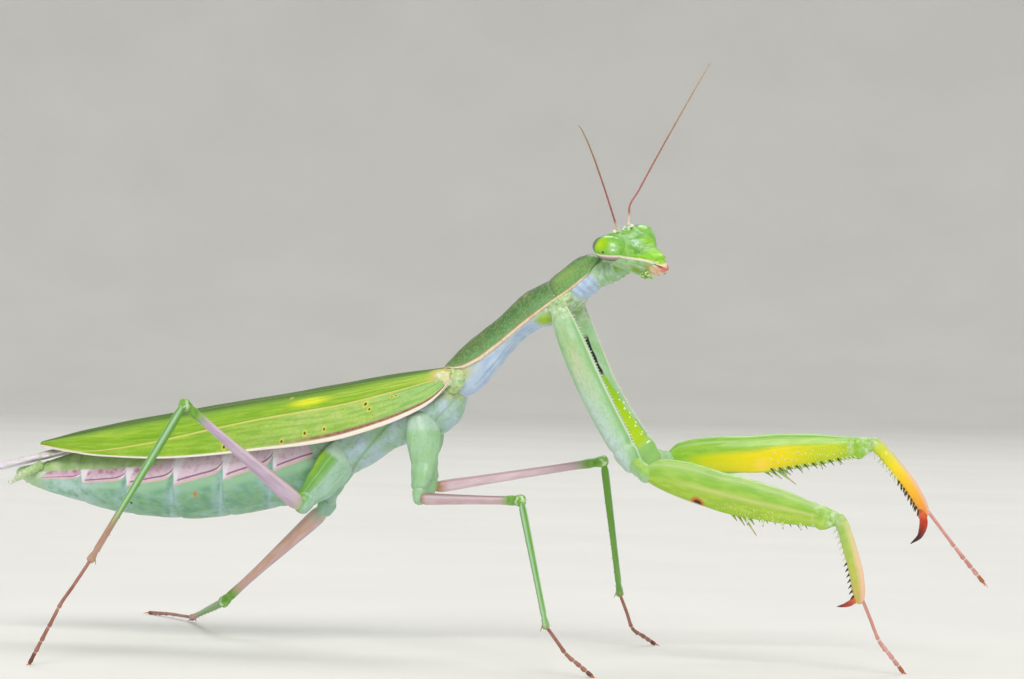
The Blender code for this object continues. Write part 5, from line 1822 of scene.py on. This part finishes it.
def make_mantis():
    make_thorax()
    make_abdomen()
    make_pronotum()
    make_chest()
    make_neck()
    make_head()
    make_ocelli()
    make_mouth()
    eye, feeler, claw = eye_finish(), feeler_finish(), claw_finish()
    fore_wing, hind_wing, knob = fore_wing_finish(), hind_wing_finish(), knob_finish()
    cercus, fold = cercus_finish(), fold_finish()
    tooth = spine_finish("tooth", (222, 230, 206), (240, 240, 226), (120, 84, 66))
    thorn_pale = spine_finish("pale spine", (196, 214, 160), (232, 228, 200), (70, 36, 30))
    thorn_dark = spine_finish("dark spine", (64, 56, 30), (30, 20, 16), (12, 8, 8))
    thorn_long = spine_finish("long spine", (160, 196, 96), (206, 186, 140), (90, 34, 34))
    dots = spine_finish("bead", (246, 246, 226), (246, 246, 226), (246, 246, 226))
    coxa = [fore_coxa_finish(), tooth, dots]
    femur = [fore_femur_finish(), thorn_pale, thorn_dark, thorn_long, dots]
    tibia = [fore_tibia_finish(), tooth, thorn_dark]
    looks = leg_looks()
    for label, side in SIDES.items():
        make_eye(side, label, eye)
        make_feeler(side, label, *FEELER_WAYS[label], feeler)
        make_fore_wing(side, label, fore_wing)
        make_crumple("wing_hinge_" + label, trunk_point(-0.1, side * 2.25, 27.35), TRUNK, (1.15, 0.66, 0.75),
                     knob, 0.24, 1.7, 4.3, 0.05)
        make_hind_wing(side, label, hind_wing)
        make_cercus(side, label, cercus)
        for pair in ("fore", "mid", "hind"):
            joints = joints_of(pair, side, LEGS[pair, label])
            make_walking_segments(pair, side, label, joints, looks[pair])
            make_tarsus(pair, side, label, joints, claw)
            if pair == "fore":
                make_fore_coxa(side, label, joints, coxa)
                for name, slot, along, across, above, squash in FOLDS:
                    make_crumple(name + label, on_prothorax(along, side * across, above), PROTHORAX, squash,
                                 fold, 0.2, 1.5, 3.4, 0.04)
                make_fore_femur(side, label, joints, femur)
                make_fore_tibia(side, label, joints, tibia, claw)


# ---- Studio ----

FLOOR_RADIUS, SWEEP_RADIUS, WALL_HEIGHT = 1.1, 0.4, 1.6  # metres


def backdrop_finish():
    """Soft pale paper, with the faintest grain."""
    f = Finish("backdrop paper", 0.9)
    grain = f.noise(0.0015, 3, vector=f.object)
    colour = f.shades(f.noise(0.05, 3, vector=f.object), 0.3, 0.7, (230, 229, 225), (235, 234, 230))
    return f.done(colour, grain, 0.03)


def make_backdrop():
    """A round pale floor that sweeps up into a wall on every side, with no edge between them."""
    mesh = bmesh.new()
    profile = [(0.0, 0.0), (FLOOR_RADIUS, 0.0)]
    for angle in spread(-90, 0, 13)[1:]:
        turn = math.radians(angle)
        profile.append((FLOOR_RADIUS + SWEEP_RADIUS * math.cos(turn), SWEEP_RADIUS * (1 + math.sin(turn))))
    profile.append((FLOOR_RADIUS + SWEEP_RADIUS, WALL_HEIGHT))
    corners = [mesh.verts.new((r, 0, z)) for r, z in profile]
    edges = [mesh.edges.new(pair) for pair in zip(corners, corners[1:])]
    bmesh.ops.spin(
        mesh, geom=corners + edges, cent=(0, 0, 0), axis=(0, 0, 1), angle=2 * math.pi, steps=96,
        use_merge=True,
    )
    bmesh.ops.remove_doubles(mesh, verts=mesh.verts, dist=1e-5)
    face_out(mesh)
    bmesh.ops.reverse_faces(mesh, faces=mesh.faces)
    backdrop = add_mesh("backdrop", mesh, [backdrop_finish()])


def add_lamp(name, azimuth, elevation, distance, size, power, colour=(1, 1, 1)):
    """A soft square lamp that faces the model from that way."""
    data = bpy.data.lights.new(name, "AREA")
    data.size = size
    data.energy = power
    data.color = colour
    data.specular_factor = 0.6
    lamp = add_object(name, data)
    way = heading(azimuth, elevation)
    lamp.location = Vector((0, 0, 0.03)) + way * distance
    lamp.rotation_euler = way.to_track_quat("Z", "Y").to_euler()


def light_studio():
    world = bpy.data.worlds.new("studio")
    bpy.context.scene.world = world
    world.use_nodes = True
    world.node_tree.nodes["Background"].inputs["Color"].default_value = (0.95, 0.97, 1.0, 1)
    world.node_tree.nodes["Background"].inputs["Strength"].default_value = 0.55
    add_lamp("key", -70, 40, 1.0, 0.4, 5.5, (1.0, 0.98, 0.94))
    add_lamp("fill", -150, 20, 1.0, 0.7, 1.0)
    add_lamp("rim", 100, 55, 1.0, 0.5, 3)
    bpy.context.scene.view_settings.view_transform = "Standard"


CAMERA_AZIMUTH, CAMERA_ROLL = 15.0, 1.0
CAMERA_DISTANCE, CAMERA_HEIGHT = 384.0, 31.3916
CAMERA_AIM = Vector((WAIST.x + 5.54, WAIST.y + 2.1, 0))


def add_camera():
    """A long lens, level with the back of the mantis and nearly square to its side."""
    turn, roll = math.radians(CAMERA_AZIMUTH), math.radians(CAMERA_ROLL)
    level = Vector((math.cos(turn), math.sin(turn), 0))
    away = Vector((-math.sin(turn), math.cos(turn), 0))
    right = level * math.cos(roll) + UP * math.sin(roll)
    up = UP * math.cos(roll) - level * math.sin(roll)
    data = bpy.data.cameras.new("camera")
    data.sensor_width = 36
    data.lens = 135
    data.clip_start = 0.01
    camera = add_object("camera", data)
    place = Matrix((right, up, -away)).transposed().to_4x4()
    place.translation = (Vector((0, 0, CAMERA_HEIGHT)) - away * CAMERA_DISTANCE + CAMERA_AIM) * MM
    camera.matrix_world = place
    bpy.context.scene.camera = camera


make_mantis()
make_backdrop()
light_studio()
add_camera()
